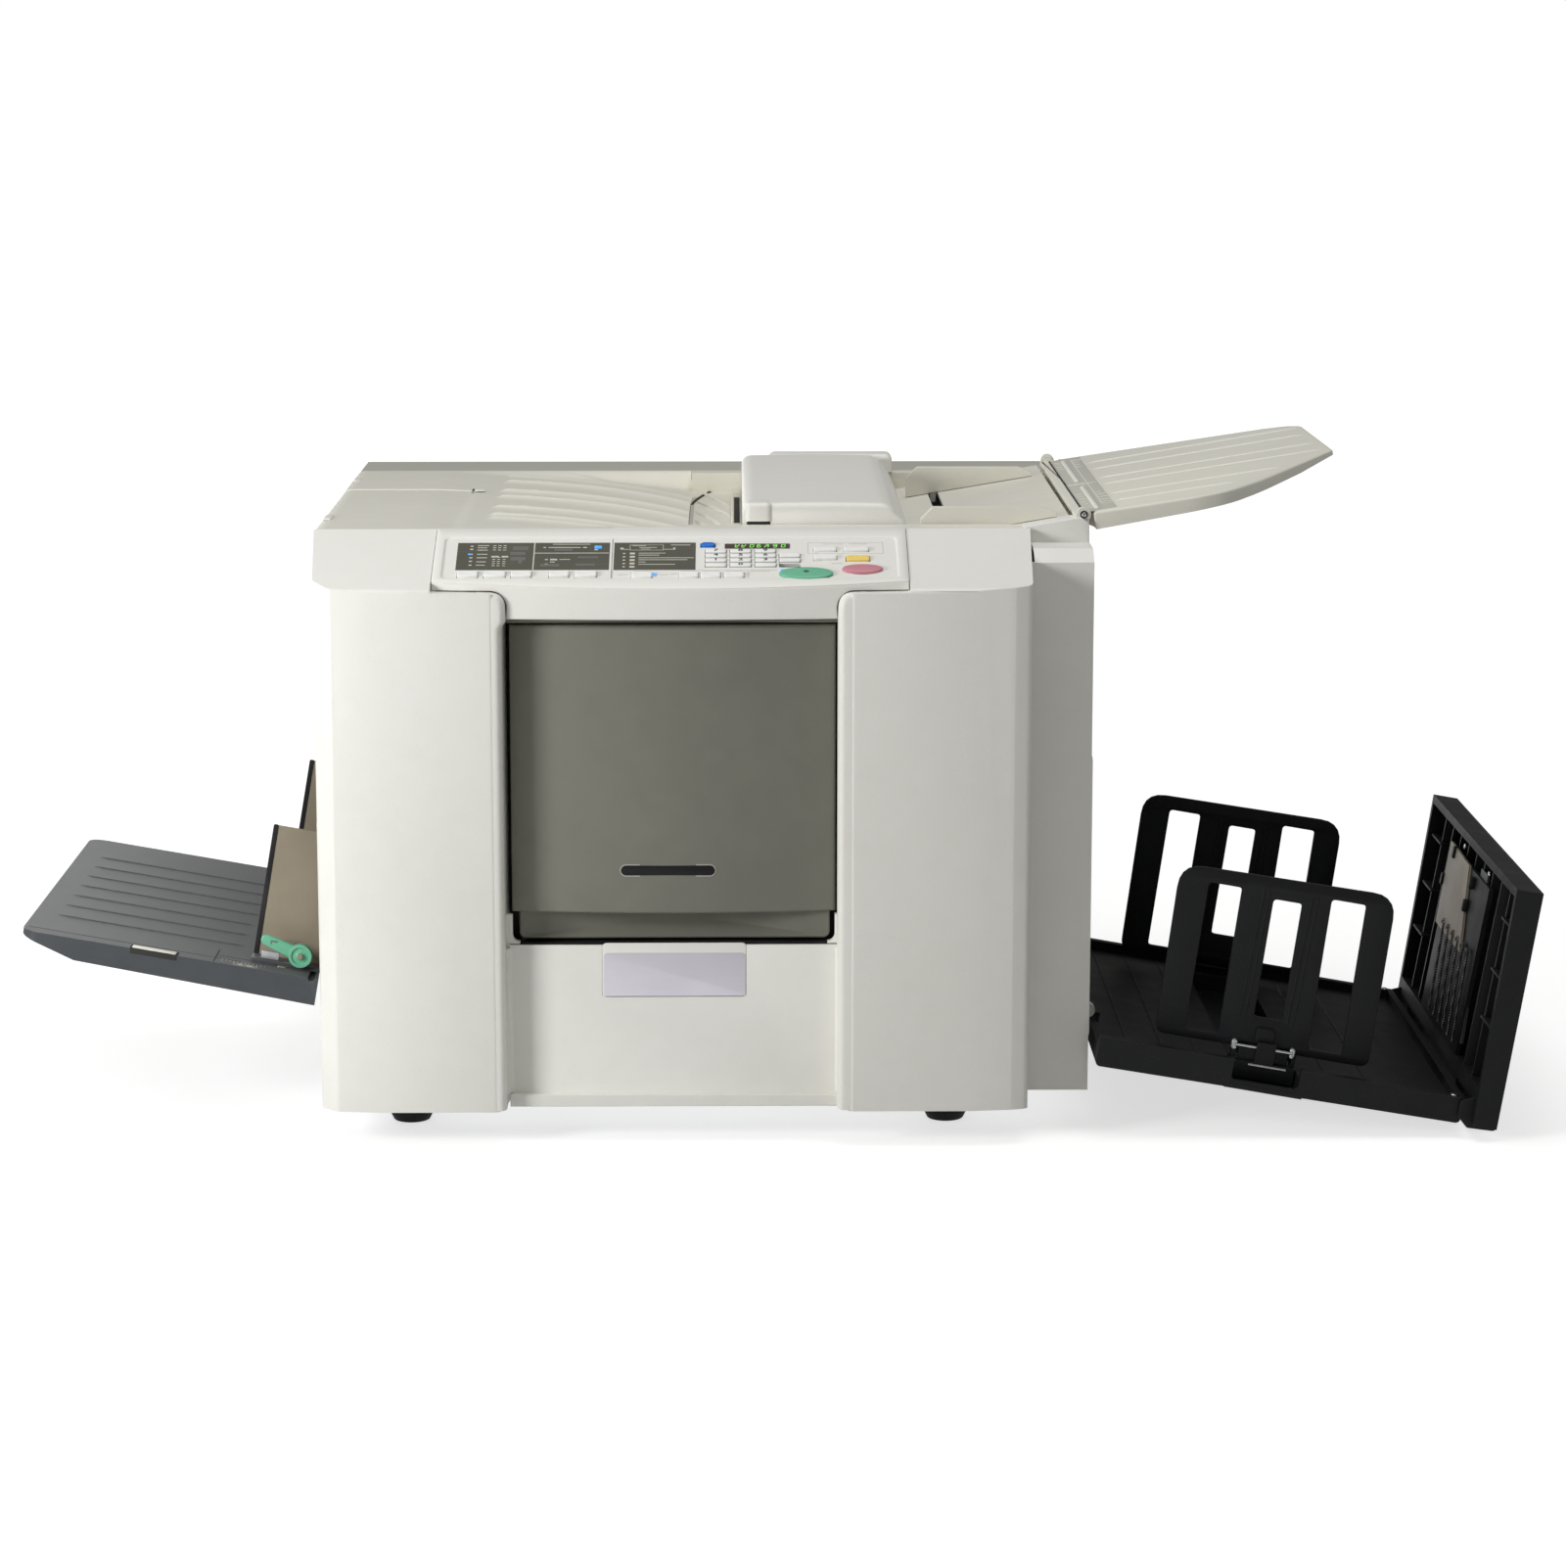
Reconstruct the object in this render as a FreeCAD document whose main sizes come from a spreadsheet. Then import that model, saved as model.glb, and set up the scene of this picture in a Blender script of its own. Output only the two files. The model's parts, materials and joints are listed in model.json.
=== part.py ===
import FreeCAD, Part
import math
import os
import Sketcher
from FreeCAD import Placement, Rotation, Vector

# Digital duplicator. Millimetres, +Z up, the front faces -Y.
# The origin is the centre of the whole object's box, on the floor.

DRIVING = {
    # casing, measured along X from left to right
    "body_left": -380,
    "column_left_edge": -232,
    "shoulder_left": -386,
    "shoulder_right": 207.5,
    "bay_left": -225,
    "bay_right": 48,
    "column_right_edge": 55,
    "front_right": 204,
    "body_right": 257,
    "housing_left": -284,
    "housing_right": 104.5,
    # casing, measured along Y from front to back
    "front_face": -327,
    "recessed_face": -278,
    "seam_back": -227,
    "ridge_front": 210,
    "rear_face": 330,
    # casing heights
    "body_bottom": 30,
    "column_top": 464,
    "top_level": 502,
    "wall": 3,
    "bow": 10,
    "bow_radius": 923,
    # front door
    "door_left": -222,
    "door_right": 45,
    "door_bottom": 193,
    "door_top": 430,
    "grip_bottom": 168,
    "door_pin_radius": 3,
    # paper path
    "paper_centre": -109,
    "paper_width": 297,
    "tray_slope": 10,
    "feed_pivot_x": -388,
    "feed_pivot_z": 138.1,
    "feed_length": 241.5,
    "tray_half_width": 192,
    "guide_height": 114,
    "guide_length": 59,
    "stack_pivot_x": 262,
    "stack_pivot_z": 88,
    "stack_length": 312,
    "fence_offset": 159,
    "fence_height": 153,
    "fence_thickness": 5,
    "end_height": 184,
    "end_width": 420,
    "hinge_pin": 3,
    # printing works
    "drum_x": -89,
    "drum_z": 311,
    "drum_radius": 90,
    "drum_front": -250,
    "drum_back": 50,
    "shaft_radius": 12,
    "press_radius": 25,
    "press_gap": 0.5,
    "frame_front": -258,
    "frame_back": 63,
    "frame_sheet": 3,
    "motor_x": 60,
    "motor_z": 120,
    "drum_pulley_radius": 60,
    "motor_pulley_radius": 14,
    "running_gap": 0.05,
    # original tray and guides
    "original_pivot_x": 252.5,
    "original_pivot_z": 512.6,
    "original_slope": 8.5,
    "original_centre": -40,
    # keys
    "key_gap": 0.4,
    "key_depth": 4,
    "key_proud": 1.6,
}

doc = FreeCAD.newDocument("duplicator")
sheet = doc.addObject("Spreadsheet::Sheet", "Dims")
for row, (alias, value) in enumerate(DRIVING.items(), start=1):
    sheet.set(f"A{row}", alias)
    sheet.set(f"B{row}", str(value))
    sheet.setAlias(f"B{row}", alias)
doc.recompute()


class Size:
    """A length that keeps both its number and the sheet formula it comes from."""

    def __init__(self, value, text):
        self.value = float(value)
        self.text = text

    def _with(self, other, sign, swap=False):
        other = as_size(other)
        a, b = (other, self) if swap else (self, other)
        result = {
            "+": a.value + b.value,
            "-": a.value - b.value,
            "*": a.value * b.value,
            "/": a.value / b.value if b.value else 0.0,
        }[sign]
        return Size(result, f"({a.text} {sign} {b.text})")

    def __add__(self, other):
        return self._with(other, "+")

    def __radd__(self, other):
        return self._with(other, "+", True)

    def __sub__(self, other):
        return self._with(other, "-")

    def __rsub__(self, other):
        return self._with(other, "-", True)

    def __mul__(self, other):
        return self._with(other, "*")

    def __rmul__(self, other):
        return self._with(other, "*", True)

    def __truediv__(self, other):
        return self._with(other, "/")

    def __neg__(self):
        return Size(0, "0") - self


def as_size(value):
    if isinstance(value, Size):
        return value
    text = f"{value:.6g}"
    return Size(value, f"({text})" if value < 0 else text)


class Sheet:
    """Reads the driving dimensions as Size values: dims.wall, dims.bow and so on."""

    def __getattr__(self, alias):
        return Size(DRIVING[alias], f"Dims.{alias}")


dims = Sheet()
NODES = {}


def bind(obj, prop, value):
    obj.setExpression(prop, as_size(value).text)


def node(label, obj, placement=None):
    """Names a finished piece and, if given, puts it in its place."""
    obj.Label = label
    if placement is not None:
        obj.Placement = placement
    NODES[label] = obj
    return obj


def box(name, x, y, z):
    obj = doc.addObject("Part::Box", name)
    for prop, base, (low, high) in (
        ("Length", "x", x),
        ("Width", "y", y),
        ("Height", "z", z),
    ):
        bind(obj, prop, as_size(high) - low)
        bind(obj, f"Placement.Base.{base}", low)
    return obj


TURNS = {
    "X": Rotation(Vector(0, 1, 0), 90),
    "Y": Rotation(Vector(1, 0, 0), -90),
    "Z": Rotation(),
}


def rod(name, axis, centre, radius, low, high):
    """A cylinder along X, Y or Z; centre holds the two other coordinates in X, Y, Z order."""
    obj = doc.addObject("Part::Cylinder", name)
    obj.Placement = Placement(Vector(0, 0, 0), TURNS[axis])
    bind(obj, "Radius", radius)
    bind(obj, "Height", as_size(high) - low)
    first, second = centre
    places = {"X": (low, first, second), "Y": (first, low, second), "Z": (first, second, low)}
    for letter, value in zip("xyz", places[axis]):
        bind(obj, f"Placement.Base.{letter}", value)
    return obj


def join(name, *pieces):
    obj = doc.addObject("Part::MultiFuse", name)
    obj.Shapes = list(pieces)
    obj.Refine = True
    return obj


def cut(name, base, *tools):
    obj = doc.addObject("Part::Cut", name)
    obj.Base = base
    obj.Tool = tools[0] if len(tools) == 1 else join(name + "_tools", *tools)
    obj.Refine = True
    return obj


def common(name, first, second):
    obj = doc.addObject("Part::Common", name)
    obj.Base = first
    obj.Tool = second
    obj.Refine = True
    return obj


def rounded(name, base, radius, chosen):
    """Rounds the edges whose middle point the test chosen picks."""
    doc.recompute()
    picked = []
    for number, edge in enumerate(base.Shape.Edges, start=1):
        middle = edge.valueAt((edge.FirstParameter + edge.LastParameter) / 2)
        if chosen(middle, edge):
            picked.append((number, radius, radius))
    obj = doc.addObject("Part::Fillet", name)
    obj.Base = base
    obj.Edges = picked
    return obj


ROLES = {"XY": "XY_Plane", "XZ": "XZ_Plane", "YZ": "YZ_Plane"}


def origin_plane(body, plane):
    return next(f for f in body.Origin.OriginFeatures if f.Role == ROLES[plane])


def outline(sketch, points):
    """A closed outline whose corners are held at sheet distances from the origin."""
    first = sketch.GeometryCount
    count = len(points)
    corners = [(as_size(a), as_size(b)) for a, b in points]
    for i in range(count):
        a, b = corners[i], corners[(i + 1) % count]
        line = Part.LineSegment(Vector(a[0].value, a[1].value, 0), Vector(b[0].value, b[1].value, 0))
        sketch.addGeometry(line, False)
    for i in range(count):
        sketch.addConstraint(
            Sketcher.Constraint("Coincident", first + i, 2, first + (i + 1) % count, 1)
        )
    for i, corner in enumerate(corners):
        for kind, size in zip(("DistanceX", "DistanceY"), corner):
            held = Sketcher.Constraint(kind, -1, 1, first + i, 1, size.value)
            index = sketch.addConstraint(held)
            sketch.setExpression(f"Constraints[{index}]", size.text)


def prism(name, plane, points, low, high, holes=(), radius=None, round_at=()):
    """A body padded from an outline in XY, XZ or YZ, between low and high across that plane.

    round_at lists corners of the outline whose edges are rounded with the given radius.
    """
    body = doc.addObject("PartDesign::Body", name)
    sketch = body.newObject("Sketcher::SketchObject", name + "_sketch")
    sketch.AttachmentSupport = (origin_plane(body, plane), [""])
    sketch.MapMode = "FlatFace"
    start = -as_size(high) if plane == "XZ" else as_size(low)
    bind(sketch, "AttachmentOffset.Base.z", start)
    outline(sketch, points)
    for hole in holes:
        outline(sketch, hole)
    pad = body.newObject("PartDesign::Pad", name + "_pad")
    pad.Profile = sketch
    bind(pad, "Length", as_size(high) - low)
    if radius is not None:
        doc.recompute()
        across = {"XY": (0, 1, 2), "XZ": (0, 2, 1), "YZ": (1, 2, 0)}[plane]
        wanted = [(as_size(points[i][0]).value, as_size(points[i][1]).value) for i in round_at]
        edges = []
        for number, edge in enumerate(pad.Shape.Edges, start=1):
            ends = [v.Point for v in edge.Vertexes]
            if len(ends) != 2 or abs(ends[0][across[2]] - ends[1][across[2]]) < 1e-6:
                continue
            spot = (ends[0][across[0]], ends[0][across[1]])
            if any(math.dist(spot, w) < 1e-3 for w in wanted):
                edges.append(f"Edge{number}")
        fillet = body.newObject("PartDesign::Fillet", name + "_round")
        fillet.Base = (pad, edges)
        bind(fillet, "Radius", radius)
    return body


# The three tilted frames: the two paper trays, the original tray and the key panel.

slope_angle = math.degrees(
    math.atan2(
        (dims.top_level - dims.column_top).value,
        (dims.seam_back - dims.front_face).value,
    )
)


def tilted(x, y, z, axis, degrees):
    base = Vector(as_size(x).value, as_size(y).value, as_size(z).value)
    return Placement(base, Rotation(axis, degrees))


ALONG_Y = Vector(0, 1, 0)
FEED_FRAME = tilted(
    dims.feed_pivot_x, dims.paper_centre, dims.feed_pivot_z, ALONG_Y, dims.tray_slope.value
)
STACK_FRAME = tilted(
    dims.stack_pivot_x, dims.paper_centre, dims.stack_pivot_z, ALONG_Y, dims.tray_slope.value
)
ORIGINAL_FRAME = tilted(
    dims.original_pivot_x, 0, dims.original_pivot_z, ALONG_Y, -dims.original_slope.value
)
PANEL_FRAME = tilted(0, dims.front_face, dims.column_top, Vector(1, 0, 0), slope_angle)


# Base pan: folded sheet with an upturned rim and two ears for the lift plate.

RIM_HEIGHT = 14
SHEET = 2
LIFT_PIVOT = (-366, 131)
EAR_Y = ((-247, -243), (25, 29))


def make_base_pan():
    gap = 0.6
    x = (dims.body_left + dims.wall + gap, dims.body_right - dims.wall - gap)
    y = (dims.seam_back + 3, dims.rear_face - dims.wall - gap)
    z = (dims.body_bottom, dims.body_bottom + RIM_HEIGHT)
    tray = box("pan_block", x, y, z)
    inside = box(
        "pan_inside",
        (x[0] + SHEET, x[1] - SHEET),
        (y[0] + SHEET, y[1] - SHEET),
        (z[0] + SHEET, z[1] + 1),
    )
    sheet_pan = cut("pan_sheet", tray, inside)
    front = box(
        "pan_front",
        (x[0], dims.front_right - dims.wall - gap),
        (dims.seam_back - 34, y[0] + SHEET),
        (z[0], z[0] + SHEET),
    )
    ears = [
        box(
            f"pan_ear_{i}",
            (LIFT_PIVOT[0] - 6, LIFT_PIVOT[0] + 6),
            span,
            (z[0] + SHEET, LIFT_PIVOT[1] + 6),
        )
        for i, span in enumerate(EAR_Y)
    ]
    bore = rod("pan_ear_bore", "Y", LIFT_PIVOT, dims.hinge_pin + dims.running_gap, -250, 32)
    node("base_pan", cut("pan_bored", join("pan_whole", sheet_pan, front, *ears), bore))


FEET = ((-312, -233), (140, -233), (-312, 250), (140, 250))


def make_feet():
    feet = []
    for i, (x, y) in enumerate(FEET):
        top = rod(f"foot_top_{i}", "Z", (x, y), 19, 8, dims.body_bottom)
        taper = doc.addObject("Part::Cone", f"foot_taper_{i}")
        bind(taper, "Radius1", 15)
        bind(taper, "Radius2", 19)
        bind(taper, "Height", 8)
        for letter, value in zip("xyz", (x, y, 0)):
            bind(taper, f"Placement.Base.{letter}", value)
        feet.append(join(f"foot_{i}", top, taper))
    group = doc.addObject("Part::Compound", "feet_group")
    group.Links = feet
    node("rubber_feet", group)


# Front covers: the two columns with the sloping shoulder above them.


def make_column(label, outer, shoulder, inner_front, inner_back, housing_edge, corner_drop):
    """One column: a plan outline and a side outline carried through each other, then hollowed.

    outer and shoulder are the outside X at the front and at the back, inner_front and inner_back
    the bay side, and housing_edge is where the control panel's housing starts above it.
    """
    side = 1 if inner_front.value > outer.value else -1
    front, back = dims.front_face, dims.seam_back
    plan = prism(
        label + "_plan",
        "XY",
        [
            (shoulder, back),
            (outer, front + corner_drop),
            (outer + side * 14, front + 4),
            (outer + side * 50, front),
            (inner_front, front),
            (inner_back, front + 42),
            (inner_back, back),
        ],
        dims.body_bottom,
        dims.top_level,
        radius=6,
        round_at=(1, 2, 4),
    )
    low, high = sorted((shoulder, inner_back), key=lambda s: s.value)
    profile = prism(
        label + "_side",
        "YZ",
        [
            (front, dims.body_bottom),
            (front, dims.column_top),
            (back, dims.top_level),
            (back, dims.body_bottom),
        ],
        low,
        high,
        radius=5,
        round_at=(1,),
    )
    solid = common(label + "_solid", plan, profile)
    shelf = dims.column_top - 2
    edge_span = sorted((housing_edge, inner_back + side), key=lambda s: s.value)
    step = box(label + "_step", edge_span, (front - 1, back + 1), (shelf, dims.top_level + 1))
    stepped = cut(label + "_stepped", solid, step)

    def corner(middle, edge):
        return abs(middle.z - shelf.value) < 0.1 and abs(middle.x - inner_back.value) < 0.2

    soft = rounded(label + "_corner", stepped, 14, corner)
    inside_x = sorted((outer + side * dims.wall, inner_back - side * 10), key=lambda s: s.value)
    room = box(
        label + "_room",
        inside_x,
        (front + 20, back + 1),
        (dims.body_bottom - 1, shelf - dims.wall),
    )
    upper_x = sorted(
        (outer + side * dims.wall, housing_edge - side * dims.wall), key=lambda s: s.value
    )
    upper = prism(
        label + "_upper_room",
        "YZ",
        [
            (front + 20, shelf - dims.wall - 1),
            (front + 20, dims.column_top + 4.4),
            (back + 1, dims.top_level - 3),
            (back + 1, shelf - dims.wall - 1),
        ],
        *upper_x,
    )
    bay_x = sorted((inner_back + side, inner_back - side * 12), key=lambda s: s.value)
    passage = box(
        label + "_passage", bay_x, (back - 35, back + 1), (dims.body_bottom - 1, shelf - dims.wall)
    )
    return cut(label + "_shell", soft, room, upper, passage)


FEED_MOUTH_Z = (124, 268)
FEED_MOUTH_Y = (-300, 60)


def make_front_covers():
    left = make_column(
        "left_column",
        dims.body_left,
        dims.shoulder_left,
        dims.column_left_edge,
        dims.bay_left,
        dims.housing_left,
        17,
    )
    mouth = box(
        "left_column_mouth",
        (dims.shoulder_left - 1, dims.body_left + dims.wall + 1),
        (FEED_MOUTH_Y[0], dims.seam_back + 1),
        FEED_MOUTH_Z,
    )
    node("left_front_cover", cut("left_column_open", left, mouth))
    right = make_column(
        "right_column",
        dims.front_right,
        dims.shoulder_right,
        dims.column_right_edge,
        dims.bay_right,
        dims.housing_right,
        8,
    )
    side_gap = box(
        "right_column_gap",
        (dims.front_right - dims.wall - 1, dims.shoulder_right + 1),
        (dims.recessed_face + 1, dims.seam_back + 1),
        (60, dims.column_top - 8),
    )
    node("right_front_cover", cut("right_column_open", right, side_gap))


def make_lower_panel():
    x = (dims.bay_left + 0.5, dims.bay_right - 0.5)
    plate = box("lower_plate", x, (-303, -299), (dims.body_bottom, dims.grip_bottom - 2))
    ledge = box("lower_ledge", x, (-309, -299), (dims.body_bottom, 40))
    flange = box("lower_flange", x, (-303, -258.5), (dims.grip_bottom - 5, dims.grip_bottom - 2))
    seat = box("badge_seat", (-147.5, -28.5), (-304, -301.5), (123.5, dims.grip_bottom))
    node("lower_front_panel", cut("lower_panel", join("lower_sheet", plate, ledge, flange), seat))
    node("badge_plate", box("badge", (-147, -29), (-303, -301.5), (124, 159)))


COVER_HINGE = (-374, 489.5)
COVER_KNUCKLES_Y = (-190, 168)
RECEIVE_MOUTH_Y = (-274.5, 62)
RECEIVE_MOUTH_Z = (84, 315)
FEED_BRACKETS_Y = (-149, -84)
STACK_BRACKETS_Y = (-210, 10)


def bracket(name, x_wall, x_pin, z_pin, y, reach):
    """A lug on a side wall with a hinge pin that stands out along +Y."""
    low, high = sorted((as_size(x_wall), as_size(x_pin)), key=lambda s: s.value)
    eye = rod(name + "_eye", "Y", (x_pin, z_pin), 6, y - 5, y + 5)
    arm = box(name + "_arm", (low, high), (y - 5, y + 5), (as_size(z_pin) - 22, as_size(z_pin) - 2))
    pin = rod(name + "_pin", "Y", (x_pin, z_pin), dims.hinge_pin, y, y + reach)
    return join(name, eye, arm, pin)


def make_side_covers():
    y = (dims.seam_back + 0.3, dims.rear_face - dims.wall - 0.3)
    top = dims.top_level - 16
    left_x = (dims.body_left, dims.body_left + dims.wall)
    lower_left = box("left_sheet", left_x, y, (dims.body_bottom, top))
    upper_left = box("left_strip", left_x, (y[0], dims.ridge_front - 1), (top - 1, top + 7.4))
    left = join("left_wall", lower_left, upper_left)
    mouth = box(
        "left_mouth",
        (dims.body_left - 1, dims.body_left + dims.wall + 1),
        (y[0] - 1, FEED_MOUTH_Y[1]),
        FEED_MOUTH_Z,
    )
    lugs = [
        bracket(f"feed_lug_{i}", dims.body_left, dims.feed_pivot_x, dims.feed_pivot_z, at, 14)
        for i, at in enumerate(FEED_BRACKETS_Y)
    ]
    hinge_x, hinge_z = COVER_HINGE
    gaps = [
        box(f"lid_gap_{i}", (dims.body_left - 1, hinge_x), (at - 1, at + 9), (hinge_z - 8, 500))
        for i, at in enumerate(COVER_KNUCKLES_Y)
    ]
    eyes = [
        box(
            f"lid_eye_{i}",
            (dims.body_left + 1, hinge_x + 5),
            (at + 10, at + 15),
            (hinge_z - 22, hinge_z + 5),
        )
        for i, at in enumerate(COVER_KNUCKLES_Y)
    ]
    bore = rod("lid_bore", "Y", COVER_HINGE, dims.hinge_pin + dims.running_gap, -200, 200)
    opened = cut("left_open", left, mouth, *gaps)
    node("left_side_cover", cut("left_bored", join("left_side", opened, *lugs, *eyes), bore))

    right_x = (dims.body_right - dims.wall, dims.body_right)
    face = dims.recessed_face
    foot = dims.body_bottom + 5
    sheet_wall = prism(
        "right_sheet",
        "YZ",
        [(face, foot), (y[1], foot), (y[1], top), (face + 9, top), (face, top - 6)],
        *right_x,
    )
    front = box(
        "right_return",
        (dims.front_right + 2, dims.body_right - 1),
        (face, face + dims.wall),
        (foot, top - 6),
    )
    cap = prism(
        "right_cap",
        "YZ",
        [
            (face, top - 12),
            (face, top - 6),
            (face + 15, top + 4),
            (-222.5, top + 4),
            (-222.5, top + 1),
            (face + 16, top + 1),
            (face + 3, top - 7.5),
            (face + 3, top - 12),
        ],
        dims.shoulder_right + 0.5,
        dims.body_right,
    )
    opening = box(
        "right_mouth",
        (dims.body_right - dims.wall - 1, dims.body_right + 1),
        RECEIVE_MOUTH_Y,
        RECEIVE_MOUTH_Z,
    )
    hole = box(
        "switch_hole", (dims.body_right - 6, dims.body_right + 1), (240, 260), (96, 124)
    )
    lugs = [
        bracket(f"stack_lug_{i}", dims.body_right, dims.stack_pivot_x, dims.stack_pivot_z, at, 14)
        for i, at in enumerate(STACK_BRACKETS_Y)
    ]
    shell = cut("right_open", join("right_walls", sheet_wall, front, cap), opening, hole)
    node("right_side_cover", join("right_side", shell, *lugs))


INLET_X = (180, 212)
INLET_Z = (66, 92)


def make_rear_cover():
    left, right = dims.shoulder_left + 1, dims.body_right
    sheet_metal = prism(
        "rear_block",
        "YZ",
        [
            (dims.ridge_front, dims.top_level - 3),
            (dims.ridge_front, dims.top_level),
            (288, dims.top_level),
            (dims.rear_face, dims.top_level - 14),
            (dims.rear_face, dims.body_bottom),
            (dims.rear_face - dims.wall, dims.body_bottom),
            (dims.rear_face - dims.wall, dims.top_level - 16),
            (287, dims.top_level - 3),
        ],
        left,
        right,
    )
    caps = [
        prism(
            f"rear_cap_{i}",
            "YZ",
            [
                (dims.ridge_front, dims.top_level - 15.5),
                (dims.ridge_front, dims.top_level),
                (288, dims.top_level),
                (dims.rear_face, dims.top_level - 14),
                (dims.rear_face, dims.top_level - 15.5),
            ],
            low,
            low + dims.wall,
        )
        for i, low in enumerate((left, right - dims.wall))
    ]
    block = join("rear_walls", sheet_metal, *caps)
    inlet = box("inlet_hole", INLET_X, (dims.rear_face - 5, dims.rear_face + 1), INLET_Z)
    vents = [
        box(
            f"vent_{i}",
            (-250, -90),
            (dims.rear_face - 5, dims.rear_face + 1),
            (150 + 12 * i, 154 + 12 * i),
        )
        for i in range(8)
    ]
    node("rear_cover", cut("rear_open", block, inlet, *vents))


# Control panel: a wedge on the columns with a bowed apron over the door.

WINDOWS = ((-265, -140), (-136.5, -69.5))
WINDOW_V = (35.5, 82.5)
WINDOW_KEYS = ((-263, -246), (-241.5, -223.5), (-219.5, -202.5), (-188.5, -172), (-167.5, -149.5))
WINDOW_KEY_V = (22.5, 32.5)
SETTING_KEYS = ((-121.5, -104.5), (-83, -67), (-65.5, -49), (-46.5, -30))
SETTING_KEY_V = (21, 31)
PROGRAM_KEYS = (
    ((27, 46), (66, 72)),
    ((52, 72.5), (66, 72)),
    ((27, 46), (52, 59)),
)
NUMBER_X = (-53, -32.7, -12.4)
NUMBER_V = (43, 51, 59, 67)
NUMBER_SIZE = (17, 5.6)
MODE_KEY = ((-65.5, -53.5), (74, 81))
RESET_KEY = ((53.5, 73), (49.5, 58))
START_OVAL = ((20.5, 27.5), (45, 20))
STOP_OVAL = ((66.5, 35), (34, 15))


def number_key_places():
    width, depth = NUMBER_SIZE
    spots = [(x, v) for x in NUMBER_X for v in NUMBER_V] + [(7.5, v) for v in NUMBER_V[:2]]
    return [((x - width / 2, x + width / 2), (v - depth / 2, v + depth / 2)) for x, v in spots]


def function_key_places():
    places = [(x, WINDOW_KEY_V) for x in WINDOW_KEYS]
    places += [(x, SETTING_KEY_V) for x in SETTING_KEYS]
    return places + list(PROGRAM_KEYS)


def key_box(name, x, v, grow=0, depth=None):
    """A key, or with grow the hole for one, in the panel's own frame."""
    low = -dims.key_depth if depth is None else as_size(-depth)
    high = dims.key_proud if depth is None else as_size(depth)
    return box(name, (x[0] - grow, x[1] + grow), (v[0] - grow, v[1] + grow), (low, high))


def oval(name, centre, size, grow, low, high):
    """An oval key: an upright cylinder as wide as the key, cut by a second, larger round."""
    (x, v), (long_axis, short_axis) = centre, size
    half = long_axis / 2 + grow
    rise = short_axis / 2 + grow
    arc_radius = (half**2 + rise**2) / (2 * rise)
    upper = rod(name + "_upper", "Z", (x, v + rise - arc_radius), arc_radius, low, high)
    lower = rod(name + "_lower", "Z", (x, v - rise + arc_radius), arc_radius, low, high)
    ends = box(name + "_ends", (x - half + 3, x + half - 3), (v - rise - 1, v + rise + 1), (low, high))
    return common(name, common(name + "_lens", upper, lower), ends)


def compound(name, pieces):
    group = doc.addObject("Part::Compound", name)
    group.Links = pieces
    return group


def make_panel():
    x = (dims.housing_left + 0.5, dims.housing_right - 0.5)
    shelf = dims.column_top - 2 + 0.3
    front, back = dims.front_face, dims.seam_back
    wedge = prism(
        "wedge",
        "YZ",
        [(front, shelf), (front, dims.column_top), (back, dims.top_level), (back, shelf)],
        *x,
    )
    room = prism(
        "wedge_room",
        "YZ",
        [
            (front + 8.5, shelf - 1),
            (front + 8.5, dims.column_top),
            (back - 3, dims.top_level - 4.4),
            (back - 3, shelf - 1),
        ],
        x[0] + dims.wall,
        x[1] - dims.wall,
    )
    apron_block = box(
        "apron_block",
        (dims.bay_left + 0.6, dims.bay_right - 0.6),
        (front - dims.bow - 3, front + 8.4),
        (440, dims.column_top),
    )
    bow = rod(
        "apron_bow",
        "Z",
        (
            (dims.bay_left + dims.bay_right) / 2,
            front - 3 + dims.bow_radius,
        ),
        dims.bow_radius,
        430,
        470,
    )
    soffit = box(
        "apron_soffit",
        (dims.bay_left + 0.6, dims.bay_right - 0.6),
        (front + 7, -262),
        (440, 443),
    )
    solid = join("wedge_and_apron", wedge, common("apron", apron_block, bow), soffit)
    shell = cut("housing_shell", solid, room)
    gap = dims.key_gap.value
    holes = [
        key_box(f"key_hole_{i}", kx, kv, gap, 6)
        for i, (kx, kv) in enumerate(
            number_key_places() + function_key_places() + [MODE_KEY, RESET_KEY]
        )
    ]
    holes += [
        oval("start_hole", *START_OVAL, gap, -6, 6),
        oval("stop_hole", *STOP_OVAL, gap, -6, 6),
    ]
    holes += [
        box(f"window_seat_{i}", wx, WINDOW_V, (-1.2, 4)) for i, wx in enumerate(WINDOWS)
    ]
    tools = compound("panel_holes", holes)
    tools.Placement = PANEL_FRAME
    node("panel_housing", cut("housing", shell, tools))

    windows = [box(f"window_{i}", wx, WINDOW_V, (-1.2, 0.2)) for i, wx in enumerate(WINDOWS)]
    node("display_windows", compound("windows", windows), PANEL_FRAME)

    numbers = [key_box(f"number_{i}", *place) for i, place in enumerate(number_key_places())]
    node("number_keys", compound("numbers", numbers), PANEL_FRAME)
    functions = [key_box(f"function_{i}", *place) for i, place in enumerate(function_key_places())]
    node("function_keys", compound("functions", functions), PANEL_FRAME)
    node("mode_key", compound("mode", [key_box("mode_cap", *MODE_KEY)]), PANEL_FRAME)
    node("reset_key", compound("reset", [key_box("reset_cap", *RESET_KEY)]), PANEL_FRAME)
    low, high = -dims.key_depth, dims.key_proud
    node("start_key", oval("start", *START_OVAL, 0, low, high), PANEL_FRAME)
    node("stop_key", oval("stop", *STOP_OVAL, 0, low, high), PANEL_FRAME)


# Front door: a bowed panel with a finger trough under it, on two upright pins at its left.

DOOR_HINGE = (-213, -290)


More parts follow.
